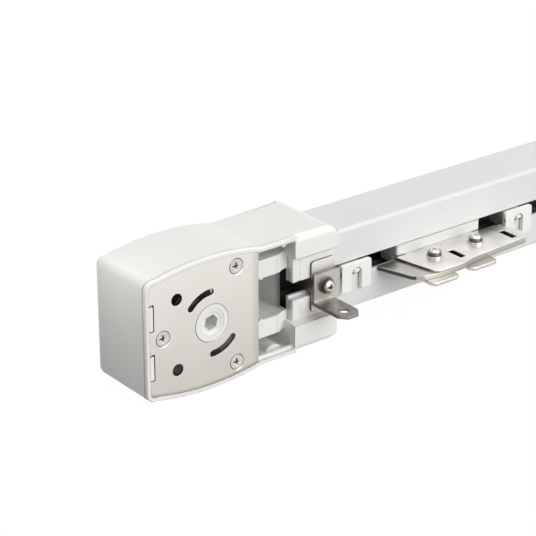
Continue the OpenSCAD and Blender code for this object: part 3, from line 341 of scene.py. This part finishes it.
def round_rim(obj, facing, radius_at, levels):
    """Rounds a tray's outer edge at its front, facing -1, or its back, 1, by drawing the wall in there."""
    work = bmesh.new()
    work.from_mesh(obj.data)
    rim_y = facing * max(v.co.y * facing for v in work.verts)
    xs = [v.co.x for v in work.verts]
    middle = Vector(((min(xs) + max(xs)) / 2, 0, 0))
    outward = {}
    for edge in work.edges:
        if max(abs(v.co.y - rim_y) for v in edge.verts) > SAME_LEVEL or not edge.is_manifold:
            continue
        side = next((f for f in edge.link_faces if abs(f.normal.y) < 0.5), None)
        if side and side.normal.dot(edge.verts[0].co - middle) > 0:
            for vert in edge.verts:
                outward.setdefault(place_of(vert), []).append(side.normal.copy())
    deepest = max(radius_at(x) for x, _ in outward)
    for k in range(1, levels + 1):
        y = rim_y - facing * deepest * (1 - sin(k * pi / 2 / (levels + 1)))
        everything = work.verts[:] + work.edges[:] + work.faces[:]
        bmesh.ops.bisect_plane(
            work, geom=everything, dist=ON_PLANE, plane_co=(0, y, 0), plane_no=(0, 1, 0))
    for vert in work.verts:
        sides = outward.get(place_of(vert))
        if not sides:
            continue
        radius = radius_at(vert.co.x)
        reach = radius - abs(rim_y - vert.co.y)
        if reach > 0:
            mean = sum(sides, Vector()) / len(sides)
            vert.co -= mean * (radius - (radius * radius - reach ** 2) ** 0.5) / mean.length_squared
    work.to_mesh(obj.data)
    work.free()


low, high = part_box("return_axle")
SPAN = (low.x + high.x) / 2
BACK_RADIUS, COLLAR_RADIUS, BACK_TAPER_X, BACK_TAPER = 0.0046, 0.0012, 0.034, 0.075
RIM_RADIUS, RIM_END_X, RIM_TAPER = 0.0009, 0.046, 0.08
CROSS_WALL_X, CROSS_WALL_Y, PASSAGE_Z = 0.0532, 0.0119, 0.0119


def from_spindle(x):
    """Distance along the rail from the nearer end's spindle."""
    return x if x < SPAN / 2 else SPAN - x


def back_radius(x):
    """Radius of a housing's back edge, least at the collar's end, where the wall behind the rail is thin."""
    radius = BACK_RADIUS - (from_spindle(x) - BACK_TAPER_X) * BACK_TAPER
    return max(COLLAR_RADIUS, min(BACK_RADIUS, radius))


def front_radius(x):
    """Radius of the rim round a cover plate, which fades out beside the window."""
    return min(RIM_RADIUS, max(0, (RIM_END_X - from_spindle(x)) * RIM_TAPER))


def passage_shade(spindle_x, inward):
    """Painted shade on the wall that the belt runs through, darkest towards that wall's front edge."""
    def share(skin):
        wall = skin.step((skin.at("X") - spindle_x) * inward, CROSS_WALL_X, CROSS_WALL_X + 0.0003)
        middle = skin.step(abs(skin.at("Z")), PASSAGE_Z, PASSAGE_Z - 0.0002)
        inside = skin.step(skin.at("Y"), CROSS_WALL_Y, CROSS_WALL_Y + 0.0003)
        return skin.step(skin.at("Y"), 0.0175, 0.0115) * wall * middle * inside * 0.8
    return share


for node, spindle_x, inward in (("drive_housing", 0, 1), ("return_housing", SPAN, -1)):
    shell = cut_copy(node)
    round_rim(shell, 1, back_radius, 9)
    round_rim(shell, -1, front_radius, 5)
    round_edges(shell, 0.00035, 2)
    housing_plastic = moulded_plastic(
        node + "_plastic", "F3F2EF", "EFEEEA", 0.36, 0.000008, passage_shade(spindle_x, inward))
    dress(shell, "track", housing_plastic)
    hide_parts(node)


# Belt guides. White acetal inserts behind the window: two blocks joined by a base, with slits that
# lead the belt runs from the pulley to the rail. Their edges are softly rounded.
guide_acetal = moulded_plastic("guide_acetal", "F7F6F4", "F2F1EE", 0.3, 0.000004)
for node in ("drive_belt_guide", "return_belt_guide"):
    soften(node, guide_acetal, 0.0003)


# Cover plates. Stamped stainless sheet, rolled along the rail and left unpolished, countersunk for its
# screws. The smooth face has painted shade towards its foot, is darker beside its window, and has a painted
# shadow along its curved lower edge. The nut plates behind the bracket screws are cut from like sheet.
def rolled_sheet(name, light, dark, roughness, stretch, scale, depth):
    """Rolled sheet metal: drawing lines along one direction, over soft clouds in the sheen."""
    sheet = Finish(name)
    lines = sheet.grain(scale, 2, stretch)
    clouds = sheet.grain(70, 3)
    marks = sheet.step(sheet.grain(420, 4, stretch), 0.62, 0.8)
    colour = sheet.mix(sheet.step(lines * 0.55 + clouds * 0.45, 0.35, 0.65), paint(dark), paint(light))
    return sheet.cover(
        colour, lines * 0.1 + clouds * 0.06 + marks * 0.08 + (roughness - 0.08), lines, depth, 1)


WINDOW_EDGE_X, WINDOW_BAND = 0.0298, 0.0053
LOWER_EDGE_X, LOWER_EDGE_Z, LOWER_EDGE_RADIUS, LOWER_EDGE_BAND = -0.001, 0.1165, 0.15095, 0.0021


def cover_steel(name, spindle_x, inward):
    """Smooth sheet with painted shade towards its foot, darker beside the window, a painted shadow above the
    lower edge and a painted dark reflection in its cuts.
    """
    sheet = Finish(name)
    height = sheet.at("Z")
    lines = sheet.grain(1500, 2, (0.03, 1, 1))
    clouds = sheet.grain(45, 3)
    # Painted shade: the sheet darkens towards the foot of the plate.
    colour = sheet.mix(sheet.step(height + clouds * 0.02, -0.03, 0.05), paint("C9C5BE"), paint("E1DED8"))
    along = (sheet.at("X") - spindle_x) * inward
    window_edge = sheet.step(along, WINDOW_EDGE_X - WINDOW_BAND, WINDOW_EDGE_X)
    colour = sheet.mix(window_edge * 0.45, colour, paint("A9A59E"))
    # Painted shadow of the gap between plate and rim, along the curved lower edge.
    aside, above = along - LOWER_EDGE_X, LOWER_EDGE_Z - height
    lower_edge_shadow = sheet.step(
        aside * aside + above * above, (LOWER_EDGE_RADIUS - LOWER_EDGE_BAND) ** 2, LOWER_EDGE_RADIUS ** 2)
    colour = sheet.mix(lower_edge_shadow * 0.55, colour, paint("8F8A83"))
    # Painted dark reflection in the countersinks and on the cut edges behind the face.
    colour = sheet.mix(sheet.step(sheet.at("Y"), 0.00004, 0.0006) * 0.85, colour, paint("5C5750"))
    return sheet.cover(colour, lines * 0.05 + clouds * 0.04 + 0.3, lines, 0.0000006, 1)


soften("cover_plate", cover_steel("cover_steel", 0, 1), 0.00012)
soften("return_cover", cover_steel("return_cover_steel", SPAN, -1), 0.00012)
nut_steel = rolled_sheet("nut_steel", "DBD9D5", "D0CDC8", 0.3, (1, 1, 0.04), 1500, 0.0000008)
for node in ("nut_plate", "return_nut_plate"):
    soften(node, nut_steel, 0.0002)


# Screws. Cross-recessed steel screws with nickel plating: countersunk ones in the covers, pan heads
# with washers on the end brackets and on the carrier's arm. Each tree makes one kind at given points.
def shape_tree(name, sizes):
    """Starts a tree that takes a geometry and named sizes, and returns it with those inputs."""
    tree = bpy.data.node_groups.new(name, "GeometryNodeTree")
    tree.is_modifier = True
    tree.interface.new_socket("Geometry", in_out="INPUT", socket_type="NodeSocketGeometry")
    for size, kind in sizes.items():
        tree.interface.new_socket(size, in_out="INPUT", socket_type=kind)
    tree.interface.new_socket("Geometry", in_out="OUTPUT", socket_type="NodeSocketGeometry")
    graph = Graph(tree)
    given = tree.nodes.new("NodeGroupInput")
    return graph, {socket.name: Wire(graph, socket) for socket in given.outputs if socket.name}


def close_tree(graph, shape, material):
    """Ends a tree in one whole geometry of one material."""
    whole = graph.node("GeometryNodeRealizeInstances", {}, {0: shape})
    painted = graph.node("GeometryNodeSetMaterial", {}, {0: whole, "Material": material})
    graph.node("NodeGroupOutput", {}, {0: painted})
    return graph.tree


def build(name, tree, points, edges=(), **sizes):
    """A plain mesh made by a tree from the given points."""
    mesh = bpy.data.meshes.new(name)
    mesh.from_pydata([Vector(p) for p in points], list(edges), [])
    obj = bpy.data.objects.new(name, mesh)
    scene.collection.objects.link(obj)
    grow = obj.modifiers.new("shape", "NODES")
    grow.node_group = tree
    for socket in tree.interface.items_tree:
        size = socket.name.replace(" ", "_")
        if size in sizes:
            grow[socket.identifier] = sizes[size]
    return own_mesh(obj)


LENGTH, TURN, COUNT = "NodeSocketFloat", "NodeSocketVector", "NodeSocketInt"
BAR, CONE, TRANSFORM = "GeometryNodeMeshCylinder", "GeometryNodeMeshCone", "GeometryNodeTransform"


def joined(graph, *shapes):
    """Shapes side by side in one geometry."""
    return graph.node("GeometryNodeJoinGeometry", {}, {0: list(shapes)})


def moved(graph, shape, x, y, z, turn=(0, 0, 0)):
    """A shape turned and put in another place."""
    place = graph.node("ShaderNodeCombineXYZ", {}, {0: x, 1: y, 2: z})
    return graph.node(TRANSFORM, {}, {0: shape, "Translation": place, "Rotation": turn})


def without(graph, body, *cutters):
    """A body with the cutters taken out of it."""
    return graph.node("GeometryNodeMeshBoolean", {"operation": "DIFFERENCE", "solver": "EXACT"}, {
        0: body, 1: list(cutters)})


BLADE_TOP, BLADE_FOOT = 0.84, 0.16
BLADE_LENGTH, BLADE_WIDTH = 1.41, 0.36


def recess(graph, size, depth):
    """The two crossed blades of a cutter that reaches below z = 0, drawn in towards its bottom."""
    blade = graph.node(CONE, {}, {
        "Vertices": 4, "Radius Top": size * BLADE_TOP, "Radius Bottom": size * BLADE_FOOT,
        "Depth": depth * 2})
    blade = moved(graph, blade, 0, 0, 0 - depth, (0, 0, pi / 4))
    along = graph.node(TRANSFORM, {}, {0: blade, "Scale": (BLADE_LENGTH, BLADE_WIDTH, 1)})
    across = graph.node(TRANSFORM, {}, {0: blade, "Scale": (BLADE_WIDTH, BLADE_LENGTH, 1)})
    return along, across


DOME = 1.7


def screw_tree(name, flat_head):
    """One kind of cross-recessed screw, with a countersunk head or a domed pan head."""
    graph, size = shape_tree(name, {
        "Head radius": LENGTH, "Head height": LENGTH, "Shank radius": LENGTH, "Shank length": LENGTH,
        "Recess": LENGTH, "Recess depth": LENGTH, "Turn": TURN})
    if flat_head:
        head = graph.node(CONE, {}, {
            "Vertices": 48, "Radius Top": size["Shank radius"], "Radius Bottom": size["Head radius"],
            "Depth": size["Head height"]})
        head = graph.node(TRANSFORM, {}, {0: head, "Rotation": (pi, 0, 0)})
    else:
        disc = graph.node(BAR, {}, {
            "Vertices": 48, "Radius": size["Head radius"], "Depth": size["Head height"]})
        disc = moved(graph, disc, 0, 0, 0 - size["Head height"] / 2)
        ball = graph.node("GeometryNodeMeshUVSphere", {}, {
            "Segments": 48, "Rings": 40, "Radius": size["Head radius"] * DOME})
        ball = moved(graph, ball, 0, 0, 0 - size["Head radius"] * DOME)
        head = graph.node("GeometryNodeMeshBoolean", {"operation": "INTERSECT", "solver": "EXACT"}, {
            1: [disc, ball]})
    cut = without(graph, head, *recess(graph, size["Recess"], size["Recess depth"]))
    shank = graph.node(BAR, {}, {
        "Vertices": 32, "Radius": size["Shank radius"], "Depth": size["Shank length"]})
    shank = moved(graph, shank, 0, 0, 0 - size["Head height"] - size["Shank length"] / 2)
    placed = graph.node("GeometryNodeInstanceOnPoints", {}, {
        "Points": size["Geometry"], "Instance": joined(graph, cut, shank), "Rotation": size["Turn"]})
    return close_tree(graph, placed, screw_nickel)


def plated_steel(name, light, dark, roughness):
    """Plated steel: bright, with pits and stains from the plating bath."""
    metal = Finish(name)
    stain = metal.step(metal.grain(520, 4), 0.4, 0.75)
    pits = metal.grain(3800, 2)
    colour = metal.mix(stain, paint(light), paint(dark))
    return metal.cover(colour, stain * 0.12 + pits * 0.08 + roughness, pits, 0.000004, 1)


def head_plating(name, axis, face, inward, deepest):
    """Nickel, bright on a head's face, with painted shade below it: down the side and in the recess."""
    metal = Finish(name)
    stain = metal.step(metal.grain(520, 4), 0.4, 0.75)
    shade_below = metal.step((metal.at(axis) - face) * inward, 0.0003, deepest)
    colour = metal.mix(stain * 0.5, paint("D5D2CD"), paint("A9A39B"))
    # Painted shade, dark grey-brown, on the head's side and in its recess.
    colour = metal.mix(shade_below * 0.9, colour, paint("4A443F"))
    return metal.cover(colour, stain * 0.1 + shade_below * 0.15 + 0.2, stain, 0.000003, 1)


HEAD_FACE_Y = 0.0003
screw_nickel = plated_steel("screw_nickel", "D8D6D2", "B9B4AD", 0.16)
cover_nickel = head_plating("cover_nickel", "Y", HEAD_FACE_Y, 1, 0.0009)
# This dark grey-brown is a painted dark reflection on the bracket washers; the carrier's rivets share it.
washer_steel = plated_steel("washer_steel", "7D756E", "5F5751", 0.34)
countersunk = screw_tree("countersunk_screw", True)
pan_head = screw_tree("pan_head_screw", False)
cover_spots = [(0.0159, 0.027), (0.0159, -0.027), (-0.0302, 0)]
OUT_OF_SLOT = (pi / 2, 0, 0)
for node, spindle_x, inward in (("cover_screws", 0, 1), ("return_screws", SPAN, -1)):
    spots = [(spindle_x + x * inward, HEAD_FACE_Y, z) for x, z in cover_spots]
    screws = build(
        node + "_set", countersunk, spots, Head_radius=0.004, Head_height=0.00255, Shank_radius=0.00145,
        Shank_length=0.0114, Recess=0.0044, Recess_depth=0.0014, Turn=OUT_OF_SLOT)
    dress(round_edges(screws, 0.00008, 2), "track", cover_nickel)
    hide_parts(node)


PAN_HEIGHT = 0.0034


def pan_screws(node, spots, length, turn, plating):
    """Puts pan-head screws in a CAD node's place."""
    screws = build(
        node + "_set", pan_head, spots, Head_radius=0.0038, Head_height=PAN_HEIGHT, Shank_radius=0.00195,
        Shank_length=length - PAN_HEIGHT, Recess=0.005, Recess_depth=0.002, Turn=turn)
    dress(round_edges(screws, 0.00012, 2), body_of(node), plating)
    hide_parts(node)


BRACKET_SCREW_X, BRACKET_SCREW_Z = 0.0762, -0.0008
low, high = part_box("bracket_screw")
bracket_nickel = head_plating("bracket_nickel", "Y", low.y, 1, 0.0014)
for node, x in (("bracket_screw", BRACKET_SCREW_X), ("return_bracket_screw", SPAN - BRACKET_SCREW_X)):
    pan_screws(node, [(x, low.y, BRACKET_SCREW_Z)], high.y - low.y, OUT_OF_SLOT, bracket_nickel)
low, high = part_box("carrier_screws")
arm_spots = [(0.1494, -0.0037, high.z), (0.1808, -0.0033, high.z)]
arm_nickel = head_plating("arm_nickel", "Z", high.z, -1, 0.002)
pan_screws("carrier_screws", arm_spots, high.z - low.z, (0, 0, 0), arm_nickel)
for node in ("bracket_washer", "return_bracket_washer"):
    soften(node, washer_steel, 0.00015)
soften("carrier_washers", screw_nickel, 0.00015)


# Spindles. At the drive end a white acetal hub with a hexagonal socket for the motor's shaft turns in a
# white flanged bush in the cover plate and a brass bush at the back, and carries the belt pulley. At the
# return end the pulley turns on a steel axle, in two brass bushes.
spindle_acetal = moulded_plastic("spindle_acetal", "F4F3F1", "EDECE9", 0.32, 0.000003)
for node in ("spindle_bush", "drive_hub"):
    soften(node, spindle_acetal, 0.00025, 3)
sintered_brass = plated_steel("sintered_brass", "C9A564", "A9853F", 0.38)
for node in ("rear_bush", "return_bushes"):
    soften(node, sintered_brass, 0.0002)
pulley_nylon = moulded_plastic("pulley_nylon", "4A4A4C", "3F3F42", 0.5, 0.000012)
for node in ("drive_pulley", "return_pulley"):
    soften(node, pulley_nylon, 0.0001)
axle_steel = plated_steel("axle_steel", "CFCDC9", "B5B1AB", 0.22)
soften("return_axle", axle_steel, 0.0003)


# Rail. One aluminium extrusion, powder coated white: a wheel chamber behind the slot, a belt chamber
# behind the two ribs, and a channel for ceiling clips along its back. The coat has a fine orange peel.
CORNER_STEPS = 4


def rounded_loop(corners):
    """Points of a closed outline whose corners are given as depth, height and radius."""
    points = []
    for i, (y, z, radius) in enumerate(corners):
        here = Vector((y, z))
        before, after = Vector(corners[i - 1][:2]), Vector(corners[(i + 1) % len(corners)][:2])
        start = here + (before - here).normalized() * radius
        end = here + (after - here).normalized() * radius
        for step in range(CORNER_STEPS + 1):
            t = step / CORNER_STEPS
            points.append(start * (1 - t) ** 2 + here * 2 * t * (1 - t) + end * t * t)
    return points


def mirrored(half):
    """A whole outline from its half above the middle line."""
    return [(y, z, r) for y, z, r in half] + [(y, -z, r) for y, z, r in reversed(half)]


MM = 0.001
# Corners of the section in millimetres. One outline runs round the outside and through the slot round
# both chambers, and each hollow beside the channel has its own.
outer = mirrored([
    (8.5, 4.4, 0.3), (8.5, 24, 2.4), (43, 24, 2.4), (43, 8, 0.3), (41.6, 8, 0.3), (41.6, 11.5, 0.2),
    (38.8, 11.5, 0.2)])
chambers = mirrored([
    (10.5, -4.4, 0.3), (10.5, -22.2, 0.3), (23, -22.2, 0.2), (23, -9, 0.3), (24.6, -9, 0.3),
    (24.6, -22.2, 0.2), (37.6, -22.2, 0.3)])
pocket = [(38.8, 13.3, 0.2), (38.8, 22.2, 0.2), (41.6, 22.2, 0.2), (41.6, 13.3, 0.2)]
points, edges = [], []
for loop in (outer + chambers, pocket, [(y, -z, r) for y, z, r in pocket]):
    first = len(points)
    points += [(p.x * MM, p.y * MM, 0) for p in rounded_loop(loop)]
    count = len(points) - first
    edges += [(first + i, first + (i + 1) % count) for i in range(count)]

graph, size = shape_tree("rail_extrusion", {"Start": LENGTH, "Length": LENGTH})
loops = graph.node("GeometryNodeMeshToCurve", {}, {0: size["Geometry"]})
section = graph.node("GeometryNodeFillCurve", {"mode": "TRIANGLES"}, {0: loops})
drawn = graph.node("GeometryNodeExtrudeMesh", {"mode": "FACES"}, {
    "Mesh": section, "Offset": (0, 0, 1), "Offset Scale": size["Length"], "Individual": False})
closed = joined(graph, drawn, graph.node("GeometryNodeFlipFaces", {}, {0: section}))
merged = graph.node("GeometryNodeMergeByDistance", {}, {0: closed, "Distance": 0.001 * MM})
lying = moved(graph, merged, size["Start"], 0, 0, (pi / 2, 0, pi / 2))


CHAMBERS_FRONT_Y, CHAMBERS_BACK_Y, CHAMBERS_TOP_Z = 0.0098, 0.0388, 0.0228


def powder_coat(name, light, dark, chamber_shade_colour, roughness):
    """Powder coat with a fine orange peel, and painted shade inside the two chambers."""
    coat = Finish(name)
    depth = coat.at("Y")
    chamber_shade = coat.step(depth, CHAMBERS_FRONT_Y, 0.0112) * coat.step(CHAMBERS_BACK_Y - depth, 0, 0.0004)
    chamber_shade = chamber_shade * coat.step(CHAMBERS_TOP_Z - abs(coat.at("Z")), 0, 0.0004)
    peel = coat.grain(1500, 2)
    drift = coat.grain(9, 2, (0.2, 1, 1))
    specks = coat.step(coat.grain(5200, 1), 0.72, 0.8)
    colour = coat.mix(coat.step(drift, 0.3, 0.7), paint(dark), paint(light))
    colour = coat.mix(specks * 0.12, colour, paint("BEBDBA"))
    # Painted shade: dark grey inside the two chambers behind the slot.
    colour = coat.mix(chamber_shade, colour, paint(chamber_shade_colour))
    return coat.cover(colour, peel * 0.12 + roughness, peel, 0.000012)


# 5C5A58 is the painted shade inside the chambers.
rail_coat = powder_coat("rail_coat", "E7E7E6", "E3E3E2", "5C5A58", 0.34)
low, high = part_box("rail")
rail_tree = close_tree(graph, lying, rail_coat)
rail = build("rail_skin", rail_tree, points, edges, Start=low.x, Length=high.x - low.x)
rail.data.shade_smooth()
rail.data.set_sharp_from_angle(angle=SHARP)
flat_shading(rail)
dress(own_mesh(rail), "track", rail_coat)
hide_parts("rail")


# Belt. A black toothed loop, 10 mm wide with 5 mm tooth spacing, which runs the length of the rail and
# round both pulleys. Each tooth is round, and the back is ground smooth.
PITCH, PULLEY_TEETH = 5 * MM, 18
TIP_DROP, TOOTH_GAP, TOOTH_HEIGHT = 0.5 * MM, 0.3 * MM, 1.2 * MM
TOOTH_RADIUS, TOOTH_OVERLAP, TOOTH_WIDTH_SHARE = 1.25 * MM, 0.05 * MM, 0.998
RUN_STEPS, BEND_STEPS = 60, 48
pitch_circle = PULLEY_TEETH * PITCH / (2 * pi)
root = pitch_circle - TIP_DROP + TOOTH_GAP + TOOTH_HEIGHT
low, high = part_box("drive_belt")
belt_middle, back_thick = (low.y + high.y) / 2, high.z - root
bend = root + back_thick / 2
half = [(step * SPAN / RUN_STEPS, bend) for step in range(RUN_STEPS + 1)]
for step in range(1, BEND_STEPS):
    angle = step * pi / BEND_STEPS
    half.append((SPAN + bend * sin(angle), bend * cos(angle)))
path = [(x, z, 0) for x, z in half] + [(SPAN - x, -z, 0) for x, z in half]
edges = [(i, (i + 1) % len(path)) for i in range(len(path))]
graph, size = shape_tree("toothed_belt", {
    "Teeth": COUNT, "Tooth radius": LENGTH, "Tooth inset": LENGTH, "Width": LENGTH, "Back": LENGTH,
    "Depth": LENGTH})
line = graph.node("GeometryNodeMeshToCurve", {}, {0: size["Geometry"]})
line = graph.node("GeometryNodeSetCurveNormal", {"mode": "Z_UP"}, {0: line})
strip = graph.node("GeometryNodeCurvePrimitiveQuadrilateral", {}, {
    "Width": size["Back"], "Height": size["Width"]})
band = graph.node("GeometryNodeCurveToMesh", {}, {0: line, 1: strip})
spots = graph.node("GeometryNodeCurveToPoints", {"mode": "COUNT"}, {"Curve": line, "Count": size["Teeth"]})
facing = Wire(graph, spots.socket.node.outputs["Rotation"])
peg = graph.node(BAR, {}, {
    "Vertices": 12, "Radius": size["Tooth radius"], "Depth": size["Width"] * TOOTH_WIDTH_SHARE})
peg = moved(graph, peg, size["Tooth inset"], 0, 0, (pi / 2, 0, 0))
teeth = graph.node("GeometryNodeInstanceOnPoints", {}, {"Points": spots, "Instance": peg, "Rotation": facing})
standing = moved(graph, joined(graph, band, teeth), 0, size["Depth"], 0, (pi / 2, 0, 0))


def rubber(name, light, dark):
    """Rubber compound, ground and dusty: fine pitting with pale rubbed patches."""
    skin = Finish(name)
    dust = skin.step(skin.grain(260, 4), 0.45, 0.75)
    pits = skin.grain(3000, 2)
    return skin.cover(skin.mix(dust, paint(dark), paint(light)), dust * 0.1 + 0.62, pits, 0.00002)


belt_rubber = rubber("belt_rubber", "2E2D2C", "1F1E1E")
belt = build(
    "belt_skin", close_tree(graph, standing, belt_rubber), path, edges,
    Teeth=round(2 * SPAN / PITCH) + PULLEY_TEETH, Tooth_radius=TOOTH_RADIUS,
    Tooth_inset=-back_thick / 2 + TOOTH_OVERLAP, Width=high.y - low.y, Back=back_thick, Depth=belt_middle)
dress(belt, "track", belt_rubber)
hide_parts("drive_belt")


# End brackets. Stainless sheet folded twice: a face under the screw, a tab with an eye that hooks the
# last glider, and a leaf that keys into the slot. The tab carries painted shade, a darker brownish grey,
# and a clamp plate lies behind the face. Both carry painted shade on their cut edges.
BRACKET_EDGE_X, BRACKET_TOP_Z = 0.068, 0.007


def folded_steel(name, spindle_x, inward):
    """Folded stainless sheet: short brush marks, with painted shade on the tab in front of the face and along
    its cut edges.
    """
    metal = Finish(name)
    brush = metal.grain(2600, 2, (1, 0.06, 0.06))
    tarnish = metal.step(metal.grain(160, 3), 0.35, 0.7)
    # Painted shade on the tab, which reaches forward out of the face.
    tab_shade = metal.step(0.0016 - metal.at("Y"), 0.0, 0.003)
    colour = metal.mix(brush * 0.5 + tarnish * 0.3, paint("C6C2BD"), paint("B1ADA7"))
    colour = metal.mix(tab_shade * 0.75 + tarnish * 0.1, colour, paint("6F6B65"))
    # Painted shade on the cut edges: the outer side edge and the top edge.
    aside = BRACKET_EDGE_X - (metal.at("X") - spindle_x) * inward
    cut = metal.step(aside, -0.0005, -0.0001) + metal.step(metal.at("Z") - BRACKET_TOP_Z, -0.0005, -0.0001)
    colour = metal.mix(cut * 0.7, colour, paint("5A544E"))
    return metal.cover(colour, brush * 0.12 + tarnish * 0.08 + 0.28, brush, 0.000004, 1)


def clamp_steel(name, face_y):
    """Rolled sheet, pale on its face, with painted shade towards the middle line and on its cut edges."""
    sheet = Finish(name)
    lines = sheet.grain(1500, 2, (1, 1, 0.04))
    clouds = sheet.grain(70, 3)
    height = sheet.at("Z") + clouds * 0.002
    # Painted shade: the face darkens towards the middle line.
    colour = sheet.mix(sheet.step(height, 0.007, 0.0135), paint("B5B0AA"), paint("E0DEDA"))
    # Painted shade on the cut edges behind the face.
    colour = sheet.mix(sheet.step(sheet.at("Y") - face_y, 0.0001, 0.0004) * 0.85, colour, paint("57514B"))
    return sheet.cover(colour, lines * 0.08 + clouds * 0.06 + 0.24, lines, 0.0000008, 1)


for side, spindle_x, inward in (("", 0, 1), ("return_", SPAN, -1)):
    bracket, clamp = side + "end_bracket", side + "clamp_plate"
    soften(bracket, folded_steel(bracket + "_steel", spindle_x, inward), 0.0002)
    soften(clamp, clamp_steel(clamp + "_steel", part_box(clamp)[0].y), 0.0002)


# Master carrier. A white acetal body on two wheel pairs with a clamp round one belt run, and a steel
# arm of two riveted sheets that comes out of the slot with two clamping jaws and hook slots.
runner_acetal = moulded_plastic("runner_acetal", "F5F5F3", "EFEFEC", 0.3, 0.000005)
SLOTS_X, SLOT_HALF = (0.1614, 0.2027), 0.0023
ARM_FRONT_Y, ARM_END_X = -0.0146, 0.2075


def arm_sheet(name, face_z, dark, light, shaded):
    """Stamped arm sheet: smooth on top, with painted shade on its cut edges, lighter on the front edge and
    end, and a painted shadow under the slots.
    """
    sheet = Finish(name)
    across = sheet.at("X")
    front = sheet.step(sheet.at("Y"), ARM_FRONT_Y, ARM_FRONT_Y - 0.0006)
    end = sheet.step(across, ARM_END_X, ARM_END_X + 0.001)
    lines = sheet.grain(1500, 2, (0.05, 1, 1))
    clouds = sheet.step(sheet.grain(60, 3), 0.35, 0.65)
    colour = sheet.mix(clouds, paint(dark), paint(light))
    # Painted shadow under each hook slot, on the lower sheet.
    for slot_x in shaded:
        slot_shadow = sheet.step(abs(across - slot_x), SLOT_HALF + 0.0005, SLOT_HALF)
        slot_shadow = slot_shadow * sheet.step(sheet.at("Y"), ARM_FRONT_Y, ARM_FRONT_Y + 0.0004)
        colour = sheet.mix(slot_shadow, colour, paint("2E2925"))
    # Painted shade on the cut edges below the top face, lighter on the front edge and the end than on other
    # cuts.
    cut = sheet.mix(front + end, paint("2E2925"), paint("AFAAA3"))
    colour = sheet.mix(sheet.step(face_z - sheet.at("Z"), 0.0002, 0.0007) * 0.9, colour, cut)
    return sheet.cover(colour, lines * 0.06 + clouds * 0.04 + 0.3, lines, 0.0000008, 1)


# A grey-white copy of the white acetal: painted shade on the carrier body.
carrier_acetal = moulded_plastic("carrier_acetal", "DCDCD9", "D6D6D2", 0.34, 0.000005)
jaw_steel = rolled_sheet("jaw_steel", "CFCCC8", "BEBAB5", 0.32, (1, 0.05, 1), 1500, 0.0000008)
soften("carrier_body", carrier_acetal, 0.0005, 3)
soften("belt_clamp", runner_acetal, 0.0003)
# The lower sheet's darker tones are painted shade.
for node, dark, light, shaded in (
        ("carrier_arm_upper", "DEDCD8", "EBE9E6", ()), ("carrier_arm_lower", "BAB7B2", "CBC8C4", SLOTS_X)):
    arm_steel = arm_sheet(node + "_steel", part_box(node)[1].z, dark, light, shaded)
    soften(node, arm_steel, 0.00025, 3)
soften("carrier_jaws", jaw_steel, 0.0006, 3)
soften("carrier_rivets", washer_steel, 0.00015)
soften("belt_clamp_screws", screw_nickel, 0.0001)


# Wheels. White nylon discs with a bore, six lightening holes and softly rounded edges, pressed in pairs
# on steel axles: two pairs on the carrier and one on each runner. One tree makes a wheel at each given
# point.
graph, size = shape_tree("wheel", {
    "Radius": LENGTH, "Width": LENGTH, "Bore": LENGTH, "Hole": LENGTH, "Hole circle": LENGTH, "Holes": COUNT})
disc = graph.node(BAR, {}, {"Vertices": 56, "Radius": size["Radius"], "Depth": size["Width"]})
bore = graph.node(BAR, {}, {"Vertices": 24, "Radius": size["Bore"], "Depth": size["Width"] * 2})
drill = graph.node(BAR, {}, {"Vertices": 12, "Radius": size["Hole"], "Depth": size["Width"] * 2})
ring = graph.node("GeometryNodeMeshCircle", {}, {"Vertices": size["Holes"], "Radius": size["Hole circle"]})
drills = graph.node("GeometryNodeRealizeInstances", {}, {
    0: graph.node("GeometryNodeInstanceOnPoints", {}, {"Points": ring, "Instance": drill})})
wheel = without(graph, without(graph, disc, bore), drills)
wheels = graph.node("GeometryNodeInstanceOnPoints", {}, {"Points": size["Geometry"], "Instance": wheel})
wheel_nylon = moulded_plastic("wheel_nylon", "F1F0EC", "E9E8E3", 0.34, 0.000005)
wheel_tree = close_tree(graph, wheels, wheel_nylon)
WHEEL_WIDTH = 4 * MM
for node in [n for n in frame["nodes"] if "_wheels_" in n]:
    low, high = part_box(node)
    x, y, r = (low.x + high.x) / 2, (low.y + high.y) / 2, (high.y - low.y) / 2
    pair = build(
        node + "_pair", wheel_tree, [(x, y, low.z + WHEEL_WIDTH / 2), (x, y, high.z - WHEEL_WIDTH / 2)],
        Radius=r, Width=WHEEL_WIDTH, Bore=1.5 * MM, Hole=0.6 * MM, Hole_circle=3.2 * MM, Holes=6)
    dress(round_edges(pair, 0.0002, 2), body_of(node), wheel_nylon)
    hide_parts(node)
for node in [n for n in frame["nodes"] if "_axle_" in n]:
    soften(node, axle_steel, 0.0002)


# Runners. White acetal carriages with an eye on a shelf under the slot, where a hanger with a notch for
# the curtain hook swings on a steel pin.
hanger_acetal = moulded_plastic("hanger_acetal", "F8F8F6", "F3F3F0", 0.28, 0.000004)
RUNNERS = 4
for i in range(1, RUNNERS + 1):
    soften(f"runner_body_{i}", runner_acetal, 0.00025)
    soften(f"hanger_{i}", hanger_acetal, 0.0005, 3)
    soften(f"hanger_pin_{i}", axle_steel, 0.0001)
